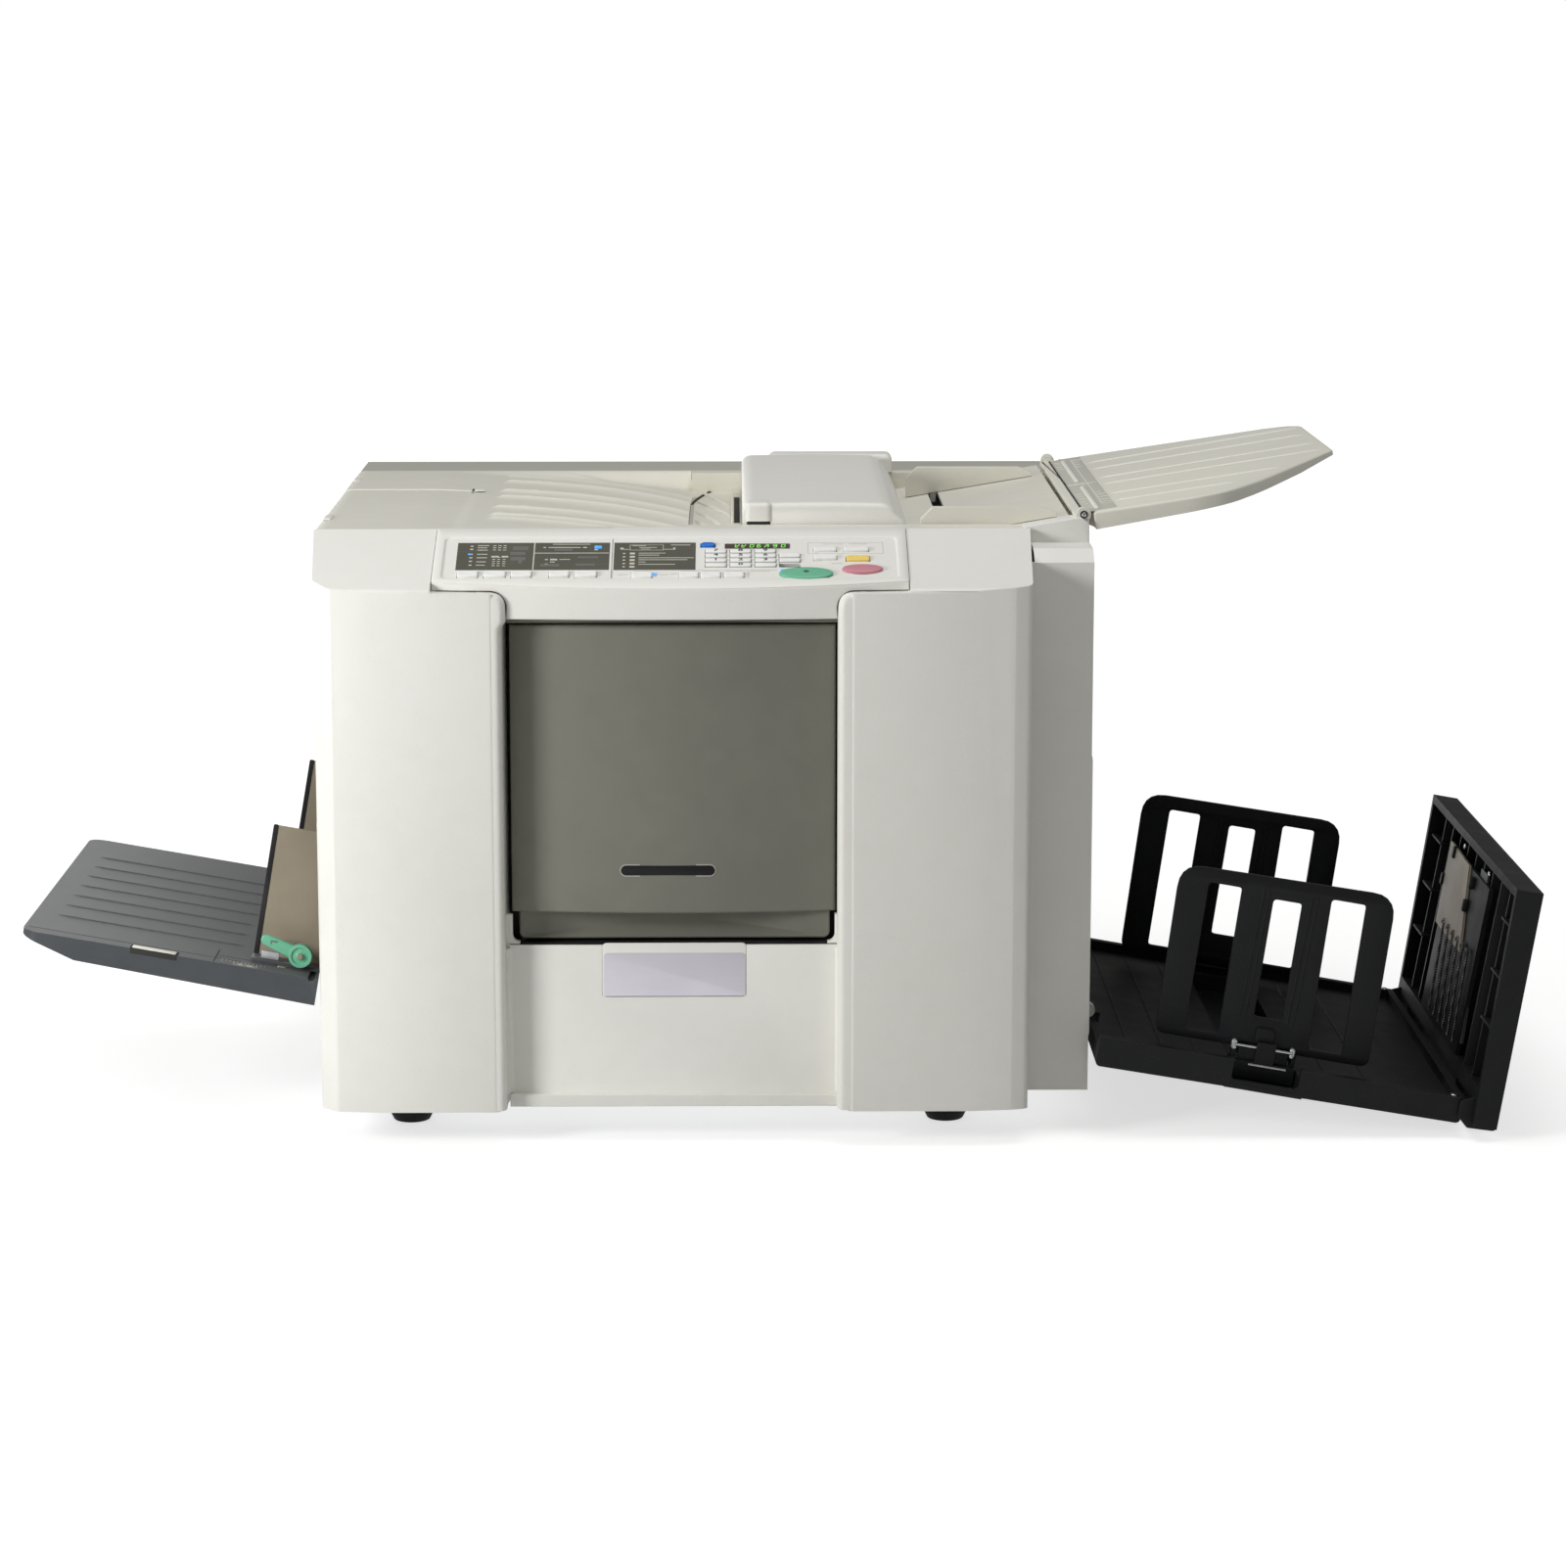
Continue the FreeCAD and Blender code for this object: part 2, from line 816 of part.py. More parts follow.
def make_door():
    x = (dims.door_left, dims.door_right)
    face = dims.front_face + 20
    blank = box("door_blank", x, (face - 1, -284), (dims.door_bottom, dims.door_top))
    bow = rod(
        "door_bow",
        "Z",
        ((dims.bay_left + dims.bay_right) / 2, face + dims.bow_radius),
        dims.bow_radius,
        150,
        450,
    )
    panel = common("door_panel", blank, bow)
    room = box(
        "door_room",
        (x[0] + 16, x[1] - 4),
        (-293, -283),
        (dims.door_bottom + 4, dims.door_top - 4),
    )
    trough = box("trough_block", (x[0] + 5, x[1] - 5), (-288, -262), (dims.grip_bottom, 197))
    hollow = box("trough_hollow", (x[0] + 9, x[1] - 9), (-295, -265), (171.5, 193))
    panel_shell = cut("door_shell", panel, room)
    pan = cut("trough", trough, hollow)
    whole = join("door_whole", panel_shell, pan)
    bore = rod(
        "door_bore", "Z", DOOR_HINGE, dims.door_pin_radius + dims.running_gap, 150, 450
    )
    node("front_door", cut("door", whole, bore))
    low_pin = rod("door_pin_low", "Z", DOOR_HINGE, dims.door_pin_radius, 166, 186)
    high_pin = rod("door_pin_high", "Z", DOOR_HINGE, dims.door_pin_radius, 415, 440)
    node("door_hinge_pins", compound("door_pins", [low_pin, high_pin]))


# Top: the left cover that opens over the master roll, the scanner bed and its cover.



def make_top():
    y = (dims.seam_back + 0.5, dims.ridge_front - 0.5)
    left = dims.shoulder_left
    lid = prism(
        "lid",
        "XZ",
        [
            (left, dims.top_level - 8),
            (left, dims.top_level - 3),
            (left + 3, dims.top_level),
            (-292, dims.top_level),
            (-286, dims.top_level - 3),
            (-78, dims.top_level - 14),
            (-78, dims.top_level - 17),
            (-287, dims.top_level - 6.5),
            (-294, dims.top_level - 3.5),
            (left + 3, dims.top_level - 3.5),
            (left + 3, dims.top_level - 8),
        ],
        *y,
    )
    ribs = [
        prism(
            f"rib_{i}",
            "XZ",
            [
                (-282, dims.top_level - 4),
                (-282, dims.top_level - 2),
                (-100, dims.top_level - 9.5),
                (-90, dims.top_level - 14),
            ],
            at,
            at + 3,
        )
        for i, at in enumerate(range(-190, 200, 55))
    ]
    hinge_x, hinge_z = COVER_HINGE
    knuckles = []
    for i, at in enumerate(COVER_KNUCKLES_Y):
        web = box(f"lid_web_{i}", (hinge_x - 2, hinge_x + 4), (at, at + 8), (hinge_z, 499))
        eye = rod(f"lid_knuckle_{i}", "Y", COVER_HINGE, 5, at, at + 8)
        pin = rod(f"lid_pin_{i}", "Y", COVER_HINGE, dims.hinge_pin, at, at + 15)
        knuckles += [web, eye, pin]
    node("master_cover", join("lid_ribbed", lid, *knuckles, *ribs))

    slope_start, slope_end = (112, 487), (242, 509)
    bed = prism(
        "bed",
        "XZ",
        [
            (-77, 484),
            slope_start,
            slope_end,
            (242, 506),
            (112, 484),
            (-77, 481),
        ],
        -201,
        188,
    )
    front_bar = box("bed_front", (-77, dims.front_right), (y[0], -200), (481, dims.top_level))
    corner = box(
        "bed_corner",
        (dims.front_right - 1, dims.body_right),
        (-222, -200),
        (dims.top_level - 15.5, dims.top_level - 2),
    )
    back_bar = box("bed_back", (-77, dims.body_right - 3.4), (187, y[1]), (481, dims.top_level))
    back_end = box(
        "bed_back_end", (dims.body_right - 4, dims.body_right), (187, y[1]), (486.5, dims.top_level)
    )
    right_bar = box("bed_right", (226, dims.body_right), (-201, 188), (486.5, 499))
    lugs = [
        join(
            f"original_lug_{i}",
            rod(
                f"original_eye_{i}",
                "Y",
                (dims.original_pivot_x, dims.original_pivot_z),
                6,
                low,
                low + 6,
            ),
            box(f"original_post_{i}", (246, dims.body_right), (low, low + 6), (498, 512)),
        )
        for i, low in enumerate((-221, 192))
    ]
    bores = [
        rod(
            "original_bore",
            "Y",
            (dims.original_pivot_x, dims.original_pivot_z),
            dims.hinge_pin + dims.running_gap,
            -230,
            205,
        ),
        rod("cover_bore", "Y", (-25, 495), dims.hinge_pin + dims.running_gap, -206, 195),
        box("roller_slot", (74, 102), (-160, 140), (470, 500)),
        rod("roller_bore", "Y", (88, 475.2), 4 + dims.running_gap, -203, 192),
        box("guide_slot_front", (138, 147), (-197, -80), (470, 500)),
        box("guide_slot_back", (138, 147), (0, 117), (470, 500)),
    ]
    hangers = [
        box(f"roller_hanger_{i}", (80, 96), span, (468, 487))
        for i, span in enumerate(((-200.5, -196), (182, 187.5)))
    ]
    bars = (front_bar, corner, back_bar, back_end, right_bar)
    whole = join("bed_whole", bed, *bars, *lugs, *hangers)
    node("scanner_bed", cut("bed_cut", whole, *bores))

    upper = prism(
        "cover_upper",
        "XZ",
        [(-31, 489.5), (-31, 514), (-25, 520), (96, 520), (109, 514), (109, 489.5)],
        -197.5,
        185.5,
    )
    overhang = prism(
        "cover_overhang",
        "XZ",
        [(-15, 503), (-15, 520), (96, 520), (109, 514), (109, 503)],
        185,
        212,
    )
    hollow = box("cover_hollow", (-12, 70), (-190, 178), (489, 512))
    throat = box("cover_throat", (70, 110), (-190, 178), (489, 502))
    stubs = [
        rod(f"cover_stub_{i}", "Y", (-25, 495), dims.hinge_pin, low, high)
        for i, (low, high) in enumerate(((-202, -197), (185, 190)))
    ]
    shell = cut("cover_shell", join("cover_blank", upper, overhang), hollow, throat)
    node("adf_cover", join("cover_whole", shell, *stubs))

    roller = rod("adf_rubber", "Y", (88, 475.2), 12, -150, 130)
    shaft = rod("adf_shaft", "Y", (88, 475.2), 4, -202, 189)
    node("adf_feed_roller", join("adf_roller", roller, shaft))
    node("image_sensor", box("sensor", (20, 44), (-185, 170), (462, 481.9)))


def make_original_tray():
    """The fold-out tray for originals, modelled flat with its hinge line at the origin."""
    front, back = -221, 183
    plate = prism(
        "original_plate",
        "XY",
        [
            (-8, front + 8),
            (8, front + 8),
            (8, front),
            (96, front),
            (124, front + 10),
            (154, front + 44),
            (196, front + 112),
            (229, front + 166),
            (233, front + 172),
            (233, back - 22),
            (222, back - 6),
            (200, back),
            (8, back),
            (8, back - 4),
            (-8, back - 4),
        ],
        -15,
        1,
    )
    wedge = prism(
        "original_wedge",
        "XZ",
        [(-9, -2.5), (-9, 2), (240, 2), (240, -2.5), (200, -7), (130, -10), (9, -14), (-2, -4)],
        front - 1,
        back + 1,
    )
    tray = common("original_tray_blank", plate, wedge)
    pins = [
        rod("original_stub_front", "Y", (0, 0), dims.hinge_pin, -221, -205),
        rod("original_stub_back", "Y", (0, 0), dims.hinge_pin, 175, 197),
    ]
    eyes = [
        rod("original_eye_a", "Y", (0, 0), 4.5, -212.5, -204),
        rod("original_eye_b", "Y", (0, 0), 4.5, 172, 178.5),
    ]
    notch = box("original_notch", (-12, 9), (-225, -214), (-12, 12))
    notch_back = box("original_notch_back", (-12, 9), (181, 200), (-12, 12))
    body = cut("original_notched", tray, notch, notch_back)
    node("original_tray", join("original_hinged", body, *pins, *eyes), ORIGINAL_FRAME)


def make_original_guides():
    """Two upright guides on the feed slope; each has a tongue in its slot."""
    half = 148.5
    for label, inner, sign in (
        ("original_guide_front", dims.original_centre.value - half, -1),
        ("original_guide_back", dims.original_centre.value + half, 1),
    ):
        low, high = sorted((inner, inner + sign * 7))
        blade = prism(
            label + "_blade",
            "XZ",
            [(118, 488.6), (232, 507.9), (232, 511), (220, 516), (128, 516), (118, 506)],
            low,
            high,
        )
        tongue = box(label + "_tongue", (140, 145), (low + 1, high - 1), (484, 496))
        node(label, join(label + "_piece", blade, tongue))


# Paper feed: the tray that folds up on the left, its guides and the lift plate inside.


def make_feed_tray():
    half = dims.tray_half_width
    length = dims.feed_length
    blank = prism(
        "feed_blank",
        "XZ",
        [
            (7, 0),
            (-length, 0),
            (-length, -5),
            (-length + 46, -18.5),
            (7, -22.5),
        ],
        -half,
        half,
    )
    plan = prism(
        "feed_plan",
        "XY",
        [(-length, -half), (6, -half), (2, -half + 60), (-2, -half + 74), (-2, half), (-length, half)],
        -30,
        5,
        radius=14,
        round_at=(0, 5),
    )
    shape = common("feed_shape", blank, plan)
    room = prism(
        "feed_room",
        "XZ",
        [(-5, -3), (-length + 14, -3), (-length + 46, -19), (-5, -23)],
        -half + 4,
        half - 4,
    )
    centre = dims.paper_centre.value
    cutters = [box("guide_channel_a", (-31, -23), (-174, -40), (-8, 1))]
    cutters.append(box("guide_channel_b", (-31, -23), (40, 174), (-8, 1)))
    ears = []
    for i, at in enumerate(FEED_BRACKETS_Y):
        local = at - centre
        cutters.append(box(f"feed_notch_{i}", (-12, 1), (local - 6, local + 15), (-30, 2)))
        arm = box(f"feed_ear_arm_{i}", (-13, 0), (local + 7, local + 13), (-5, 0))
        eye = rod(f"feed_ear_eye_{i}", "Y", (0, 0), 6, local + 7, local + 13)
        ears += [arm, eye]
    shell = join("feed_shell", cut("feed_tray_cut", shape, room, *cutters), *ears)
    bore = rod(
        "feed_bore", "Y", (0, 0), dims.hinge_pin + dims.running_gap, -half - 5, half + 5
    )
    node("feed_tray", cut("feed_bored", shell, bore), FEED_FRAME)


LEVER_AXIS = (-13, 12.5)


def make_feed_guides():
    inner = dims.paper_width.value / 2 + 1
    end = 6
    start = end - dims.guide_length.value
    for label, sign in (("feed_guide_front", -1), ("feed_guide_back", 1)):
        sheet_y = sorted((sign * inner, sign * (inner + 2)))
        foot_y = sorted((sign * inner, sign * (inner + 20)))
        blade = box(label + "_blade", (start, end), sheet_y, (0.4, dims.guide_height))
        foot = box(label + "_foot", (start, end), foot_y, (0.4, 2.4))
        tongue = box(label + "_tongue", (-30, -24), foot_y, (-6, 0.4))
        pieces = [blade, foot, tongue]
        if sign < 0:
            post = box(label + "_post", (-19, -7), (-inner - 20, -inner - 18), (0.4, 19))
            pin = rod(label + "_pin", "Y", LEVER_AXIS, 2.5, -inner - 28, -inner - 18)
            pieces += [post, pin]
        node(label, join(label + "_piece", *pieces), FEED_FRAME)
    front = -inner - 26
    wheel = rod("lever_wheel", "Y", LEVER_AXIS, 9.5, front, front + 5.5)
    arm = prism(
        "lever_arm",
        "XZ",
        [(-13, 21), (-41, 24), (-44, 21), (-43, 17), (-20, 10)],
        front + 0.5,
        front + 5,
    )
    bore = rod("lever_bore", "Y", LEVER_AXIS, 2.55, front - 1, front + 7)
    node("guide_lock_lever", cut("lever", join("lever_blank", wheel, arm), bore), FEED_FRAME)


def make_lift_plate():
    """The plate that raises the stack to the pick-up roller, hinged at its outer end."""
    x, z = LIFT_PIVOT
    frame = Placement(Vector(x, 0, z), Rotation(ALONG_Y, dims.tray_slope.value))
    plate = box("lift_sheet", (4, 164), (-242, 24), (1, 3))
    knuckle = rod("lift_knuckle", "Y", (0, 0), 5.5, -242, 24)
    web = box("lift_web", (0, 6), (-242, 24), (-2, 3))
    pins = rod("lift_pins", "Y", (0, 0), dims.hinge_pin, -247, 29)
    pad = box("lift_pad", (110, 160), (-140, -78), (3, 4))
    node("lift_plate", join("lift", plate, knuckle, web, pins, pad), frame)


# Delivery: the tray that folds up on the right, its sliding side fences and end fence.

BASE_X = (118, 172)


def make_stack_tray():
    half = dims.tray_half_width + 4
    length = dims.stack_length
    blank = prism(
        "stack_blank",
        "XZ",
        [(3, 0), (length, 0), (length, -22), (3, -25)],
        -half,
        half,
        radius=4,
        round_at=(2, 3),
    )
    upper = box("stack_upper_room", (-1, length - 6), (-half + 9, half - 9), (-8, 1))
    channel = box("stack_channel", (BASE_X[0] - 1.5, BASE_X[1] + 1.5), (-half + 4, half - 4), (-22, 1))
    notch_x = (BASE_X[0] - 1.5, BASE_X[1] + 1.5)
    notches = [
        box("stack_notch_front", notch_x, (-half - 1, -half + 5), (-21, 1)),
        box("stack_notch_back", notch_x, (half - 5, half + 1), (-21, 1)),
    ]
    under = [
        box("stack_under_a", (7, BASE_X[0] - 5), (-half + 4, half - 4), (-27, -11)),
        box("stack_under_b", (BASE_X[1] + 5, length - 4), (-half + 4, half - 4), (-27, -11)),
    ]
    centre = dims.paper_centre.value
    ears, gaps = [], []
    for i, at in enumerate(STACK_BRACKETS_Y):
        local = at - centre
        gaps.append(box(f"stack_gap_{i}", (-8, 11), (local - 6, local + 15), (-30, 8)))
        ears.append(rod(f"stack_ear_{i}", "Y", (0, 0), 6, local + 7, local + 13))
        ears.append(box(f"stack_arm_{i}", (0, 12), (local + 7, local + 13), (-11, -3)))
    tub = cut("stack_tub", blank, upper, channel, *notches, *under, *gaps)
    end_knuckles = [
        rod(f"stack_knuckle_{i}", "Y", (length + 1, -16), 5, low, low + 40)
        for i, low in enumerate((-150, 110))
    ]
    whole = join("stack_whole", tub, *ears, *end_knuckles)
    bores = [
        rod("stack_bore", "Y", (0, 0), dims.hinge_pin + dims.running_gap, -half - 5, half + 5),
        rod(
            "stack_end_bore",
            "Y",
            (length + 1, -16),
            dims.hinge_pin + dims.running_gap,
            -half,
            half,
        ),
    ]
    node("receiving_tray", cut("stack_bored", whole, *bores), STACK_FRAME)


def make_side_fences():
    offset = dims.fence_offset
    thick = dims.fence_thickness / 2
    top = dims.fence_height
    middle = (BASE_X[0] + BASE_X[1]) / 2
    for label, sign in (("front", -1), ("back", 1)):
        at = offset * sign
        slots = (
            [(75, 10), (105, 10), (101, 138), (71, 138)],
            [(130, 30), (156, 30), (153, 133), (127, 133)],
            [(180, 10), (211, 10), (206, 141), (175, 141)],
        )
        blade = prism(
            f"fence_{label}_blade",
            "XZ",
            [(51, 3), (235, 3), (230, top), (45, top - 3)],
            at - thick,
            at + thick,
            holes=slots,
            radius=14,
            round_at=(2, 3),
        )
        clear = box(
            f"fence_{label}_clear", (BASE_X[0] - 2, BASE_X[1] + 2), (at - 4, at + 4), (2, 8.5)
        )
        blade = cut(f"fence_{label}_cleared", blade, clear)
        seat = box(
            f"fence_{label}_seat", (BASE_X[0] + 4, BASE_X[1] - 4), (at - 4, at + 4), (-1, 10)
        )
        hinge = rod(f"fence_{label}_eye", "X", (at, 0), 4.5, BASE_X[0] + 8, BASE_X[1] - 8)
        bore = rod(
            f"fence_{label}_bore",
            "X",
            (at, 0),
            2 + dims.running_gap,
            BASE_X[0],
            BASE_X[1],
        )
        fence = join(f"fence_{label}_joined", blade, seat, hinge)
        node(f"side_fence_{label}", cut(f"fence_{label}", fence, bore), STACK_FRAME)

        block = box(
            f"base_{label}_block", BASE_X, (at - 13, at + 13), (-20, -5.5)
        )
        cheeks = [
            box(f"base_{label}_cheek_{i}", span, (at - 6, at + 6), (-6, 5))
            for i, span in enumerate(
                ((BASE_X[0], BASE_X[0] + 3.5), (BASE_X[1] - 3.5, BASE_X[1]))
            )
        ]
        pin = rod(f"base_{label}_pin", "X", (at, 0), 2, BASE_X[0], BASE_X[1])
        tab = box(
            f"base_{label}_tab",
            (middle - 8, middle + 8),
            sorted((at.value + sign * 13, at.value + sign * 10)),
            (-6, 12),
        )
        base = join(f"base_{label}_joined", block, pin, *cheeks, tab)
        node(f"fence_base_{label}", base, STACK_FRAME)


def make_end_fence():
    half = dims.end_width / 2
    foot = dims.stack_length + 2
    panel = prism(
        "end_panel",
        "XZ",
        [
            (foot + 6, -4),
            (foot + 1.5, dims.end_height),
            (foot + 23.9, dims.end_height),
            (foot + 26.5, -19),
            (foot + 7, -19),
        ],
        -half,
        half,
    )
    room = prism(
        "end_room",
        "XZ",
        [
            (foot - 4, 12),
            (foot - 6, dims.end_height - 7),
            (foot + 17.5, dims.end_height - 7),
            (foot + 20.5, 12),
        ],
        -half + 7,
        half - 7,
    )
    ribs = [
        box(f"end_rib_{i}", (foot + 8, foot + 20), (at, at + 3), (12, dims.end_height - 8))
        for i, at in enumerate(range(-160, 180, 40))
    ]
    plate = box("end_plate", (foot + 5, foot + 9), (-90, 90), (12, dims.end_height - 25))
    gaps = [
        box(f"end_gap_{i}", (foot - 8, foot + 9), (low - 1, low + 41), (-24, -3))
        for i, low in enumerate((-150, 110))
    ]
    pin = rod("end_pin", "Y", (dims.stack_length + 1, -16), dims.hinge_pin, -156, 156)
    cheeks = [
        box(f"end_cheek_{i}", (foot - 1, foot + 9), (low, low + 4), (-19, -13))
        for i, low in enumerate((-156, -108, 104, 152))
    ]
    shell = cut("end_shell", panel, room, *gaps)
    node("end_fence", join("end_whole", shell, plate, *ribs, pin, *cheeks), STACK_FRAME)


# Printing works between the two frame plates.

PRESS_Z = (dims.drum_z - dims.drum_radius - dims.press_gap - dims.press_radius)
DRUM_AXIS = (dims.drum_x, dims.drum_z)
PRESS_AXIS = (dims.drum_x, PRESS_Z)
TIMING_AXIS = (-150, 208)
PICKUP_AXIS = (-207, 240)
ROLL_AXIS = (-300, 405)
PLATEN_AXIS = (-215, 430)
SHAFTS = ((PRESS_AXIS, 6), (TIMING_AXIS, 4), (PICKUP_AXIS, 5), (ROLL_AXIS, 10), (PLATEN_AXIS, 4))


def make_frames():
    floor = dims.body_bottom + SHEET
    plate = [
        (-228, floor),
        (110, floor),
        (110, 455),
        (-345, 455),
        (-345, 345),
        (-228, 345),
    ]
    for label, low in (
        ("front_frame_plate", dims.frame_front),
        ("rear_frame_plate", dims.frame_back - dims.frame_sheet),
    ):
        high = low + dims.frame_sheet
        sheet_metal = prism(label + "_sheet", "XZ", plate, low, high)
        front = label.startswith("front")
        main_radius = 97 if front else 20 + dims.running_gap
        holes = [rod(label + "_drum_hole", "Y", DRUM_AXIS, main_radius, low - 1, high + 1)]
        holes += [
            rod(f"{label}_bore_{i}", "Y", axis, radius + dims.running_gap, low - 1, high + 1)
            for i, (axis, radius) in enumerate(SHAFTS)
        ]
        if not front:
            centre = (dims.motor_x, dims.motor_z)
            holes.append(rod(label + "_motor_hole", "Y", centre, 10, low - 1, high + 1))
        node(label, cut(label + "_cut", sheet_metal, *holes))
    inner = (dims.frame_front + dims.frame_sheet, dims.frame_back - dims.frame_sheet)
    places = ((-215, 60), (95, 60), (95, 330), (-330, 360))
    bars = [rod(f"bar_{i}", "Y", place, 5, *inner) for i, place in enumerate(places)]
    node("tie_bars", compound("bars", bars))


def make_drum():
    radius = dims.drum_radius
    front, back = dims.drum_front, dims.drum_back
    bore_radius = dims.shaft_radius + dims.running_gap
    shell = rod("drum_outer", "Y", DRUM_AXIS, radius, front, back)
    room = rod("drum_room", "Y", DRUM_AXIS, radius - 1.5, front + 3, back - 3)
    hub = rod("drum_hub", "Y", DRUM_AXIS, 20, back - 1, dims.frame_back + 4.5)
    bore = rod("drum_bore", "Y", DRUM_AXIS, bore_radius, front - 1, 90)
    clamp = box("drum_clamp", (dims.drum_x - 8, dims.drum_x + 8), (front + 6, back - 6), (398, 400))
    drum = join("drum_solid", cut("drum_shell", shell, room), hub, clamp)
    node("print_drum", cut("drum_bored", drum, bore))

    plate = rod("drum_plate", "Y", DRUM_AXIS, 100, -261, dims.frame_front)
    shaft = rod("drum_axle", "Y", DRUM_AXIS, dims.shaft_radius, -261, 82)
    posts = [
        box(f"handle_post_{i}", (x, x + 8), (-281, -260), (300, 322))
        for i, x in enumerate((-129, -57))
    ]
    grip = box("handle_grip", (-129, -49), (-283, -277), (300, 322))
    node("drum_shaft", join("drum_carrier", plate, shaft, grip, *posts))

    tube = rod("ink_tube", "Y", (dims.drum_x, dims.drum_z + 45), 31, -244, 40)
    saddle = box(
        "ink_saddle",
        (dims.drum_x - 6, dims.drum_x + 6),
        (-200, 0),
        (dims.drum_z + dims.shaft_radius, dims.drum_z + 20),
    )
    node("ink_cartridge", join("ink", tube, saddle))

    pulley_y = (dims.frame_back + 4.5, dims.frame_back + 16.5)
    wheel = rod("big_wheel", "Y", DRUM_AXIS, dims.drum_pulley_radius, *pulley_y)
    wheel_bore = rod("big_bore", "Y", DRUM_AXIS, bore_radius, pulley_y[0] - 1, pulley_y[1] + 1)
    node("drum_pulley", cut("big_pulley", wheel, wheel_bore))

    axis = (dims.motor_x, dims.motor_z)
    wheel = rod("small_wheel", "Y", axis, dims.motor_pulley_radius, *pulley_y)
    spindle = rod("motor_spindle", "Y", axis, 4, 5, dims.frame_back + 18)
    node("motor_pulley", join("small_pulley", wheel, spindle))
    can = rod("motor_can", "Y", axis, 32, -10, dims.frame_back - dims.frame_sheet)
    hollow = rod("motor_bore", "Y", axis, 4 + dims.running_gap, 4, 70)
    node("main_motor", cut("motor", can, hollow))


def make_belt():
    """A flat belt round both pulleys: two arcs and two straight runs, made twice and cut."""
    a = Vector(dims.drum_x.value, 0, dims.drum_z.value)
    b = Vector(dims.motor_x.value, 0, dims.motor_z.value)
    along = (b - a).normalize()
    aside = Vector(along.z, 0, -along.x)
    low = dims.frame_back.value + 5.5

    def loop(extra):
        ra = dims.drum_pulley_radius.value + extra
        rb = dims.motor_pulley_radius.value + extra
        lean = math.asin((ra - rb) / a.distanceToPoint(b))
        corners = []
        for side in (1, -1):
            normal = along * math.sin(lean) + aside * (side * math.cos(lean))
            corners.append((a + normal * ra, b + normal * rb))
        (a1, b1), (a2, b2) = corners
        edges = [
            Part.LineSegment(a1, b1).toShape(),
            Part.Arc(b1, b + along * rb, b2).toShape(),
            Part.LineSegment(b2, a2).toShape(),
            Part.Arc(a2, a - along * ra, a1).toShape(),
        ]
        face = Part.Face(Part.Wire(edges))
        face.translate(Vector(0, low, 0))
        return face.extrude(Vector(0, 10, 0))

    belt = doc.addObject("Part::Feature", "belt")
    belt.Shape = loop(2.3).cut(loop(0.3))
    node("drive_belt", belt)


def make_rollers():
    for label, axis, radius, shaft, span in (
        ("pressure_roller", PRESS_AXIS, dims.press_radius, 6, (-248, 48)),
        ("timing_roller", TIMING_AXIS, 10, 4, (-225, 30)),
        ("pickup_roller", PICKUP_AXIS, 18, 5, (-135, -83)),
        ("master_roll", ROLL_AXIS, 38, 10, (-235, 20)),
        ("platen_roller", PLATEN_AXIS, 9, 4, (-240, 25)),
    ):
        rubber = rod(label + "_rubber", "Y", axis, radius, *span)
        core = rod(
            label + "_core", "Y", axis, shaft, dims.frame_front - 2, dims.frame_back + 2
        )
        node(label, join(label + "_piece", rubber, core))


def make_paper_deck():
    inner = (dims.frame_front + dims.frame_sheet, dims.frame_back - dims.frame_sheet)
    deck = box("deck_sheet", (-196, -116), inner, (215, 217))
    slot = box("deck_slot", (-162, -138), (-232, 37), (214, 218))
    pad = box("deck_pad", (-216, -195), (-120, -98), (205, 221.5))
    node("feed_deck", join("deck", cut("deck_slotted", deck, slot), pad))

    unit = box("suction_box", (-35, 245), (-235, 17), (178, 212))
    feet = box("suction_feet", (-35, 100), inner, (178, 184))
    belts = [
        box(f"suction_belt_{i}", (-33, 243), (at, at + 18), (212, 214))
        for i, at in enumerate((-215, -170, -66, -21))
    ]
    node("suction_unit", join("suction", unit, feet, *belts))

    head = box("head_bar", (-232, -198), inner, (404, 419.5))
    node("thermal_head", head)
    bin_box = box("bin_outer", (15, 105), (-240, 45), (345, 450))
    bin_room = box("bin_inner", (17, 103), (-238, 43), (347, 451))
    flange = box("bin_flange", (15, 105), inner, (343, 346))
    node("disposal_box", join("bin", cut("bin_open", bin_box, bin_room), flange))


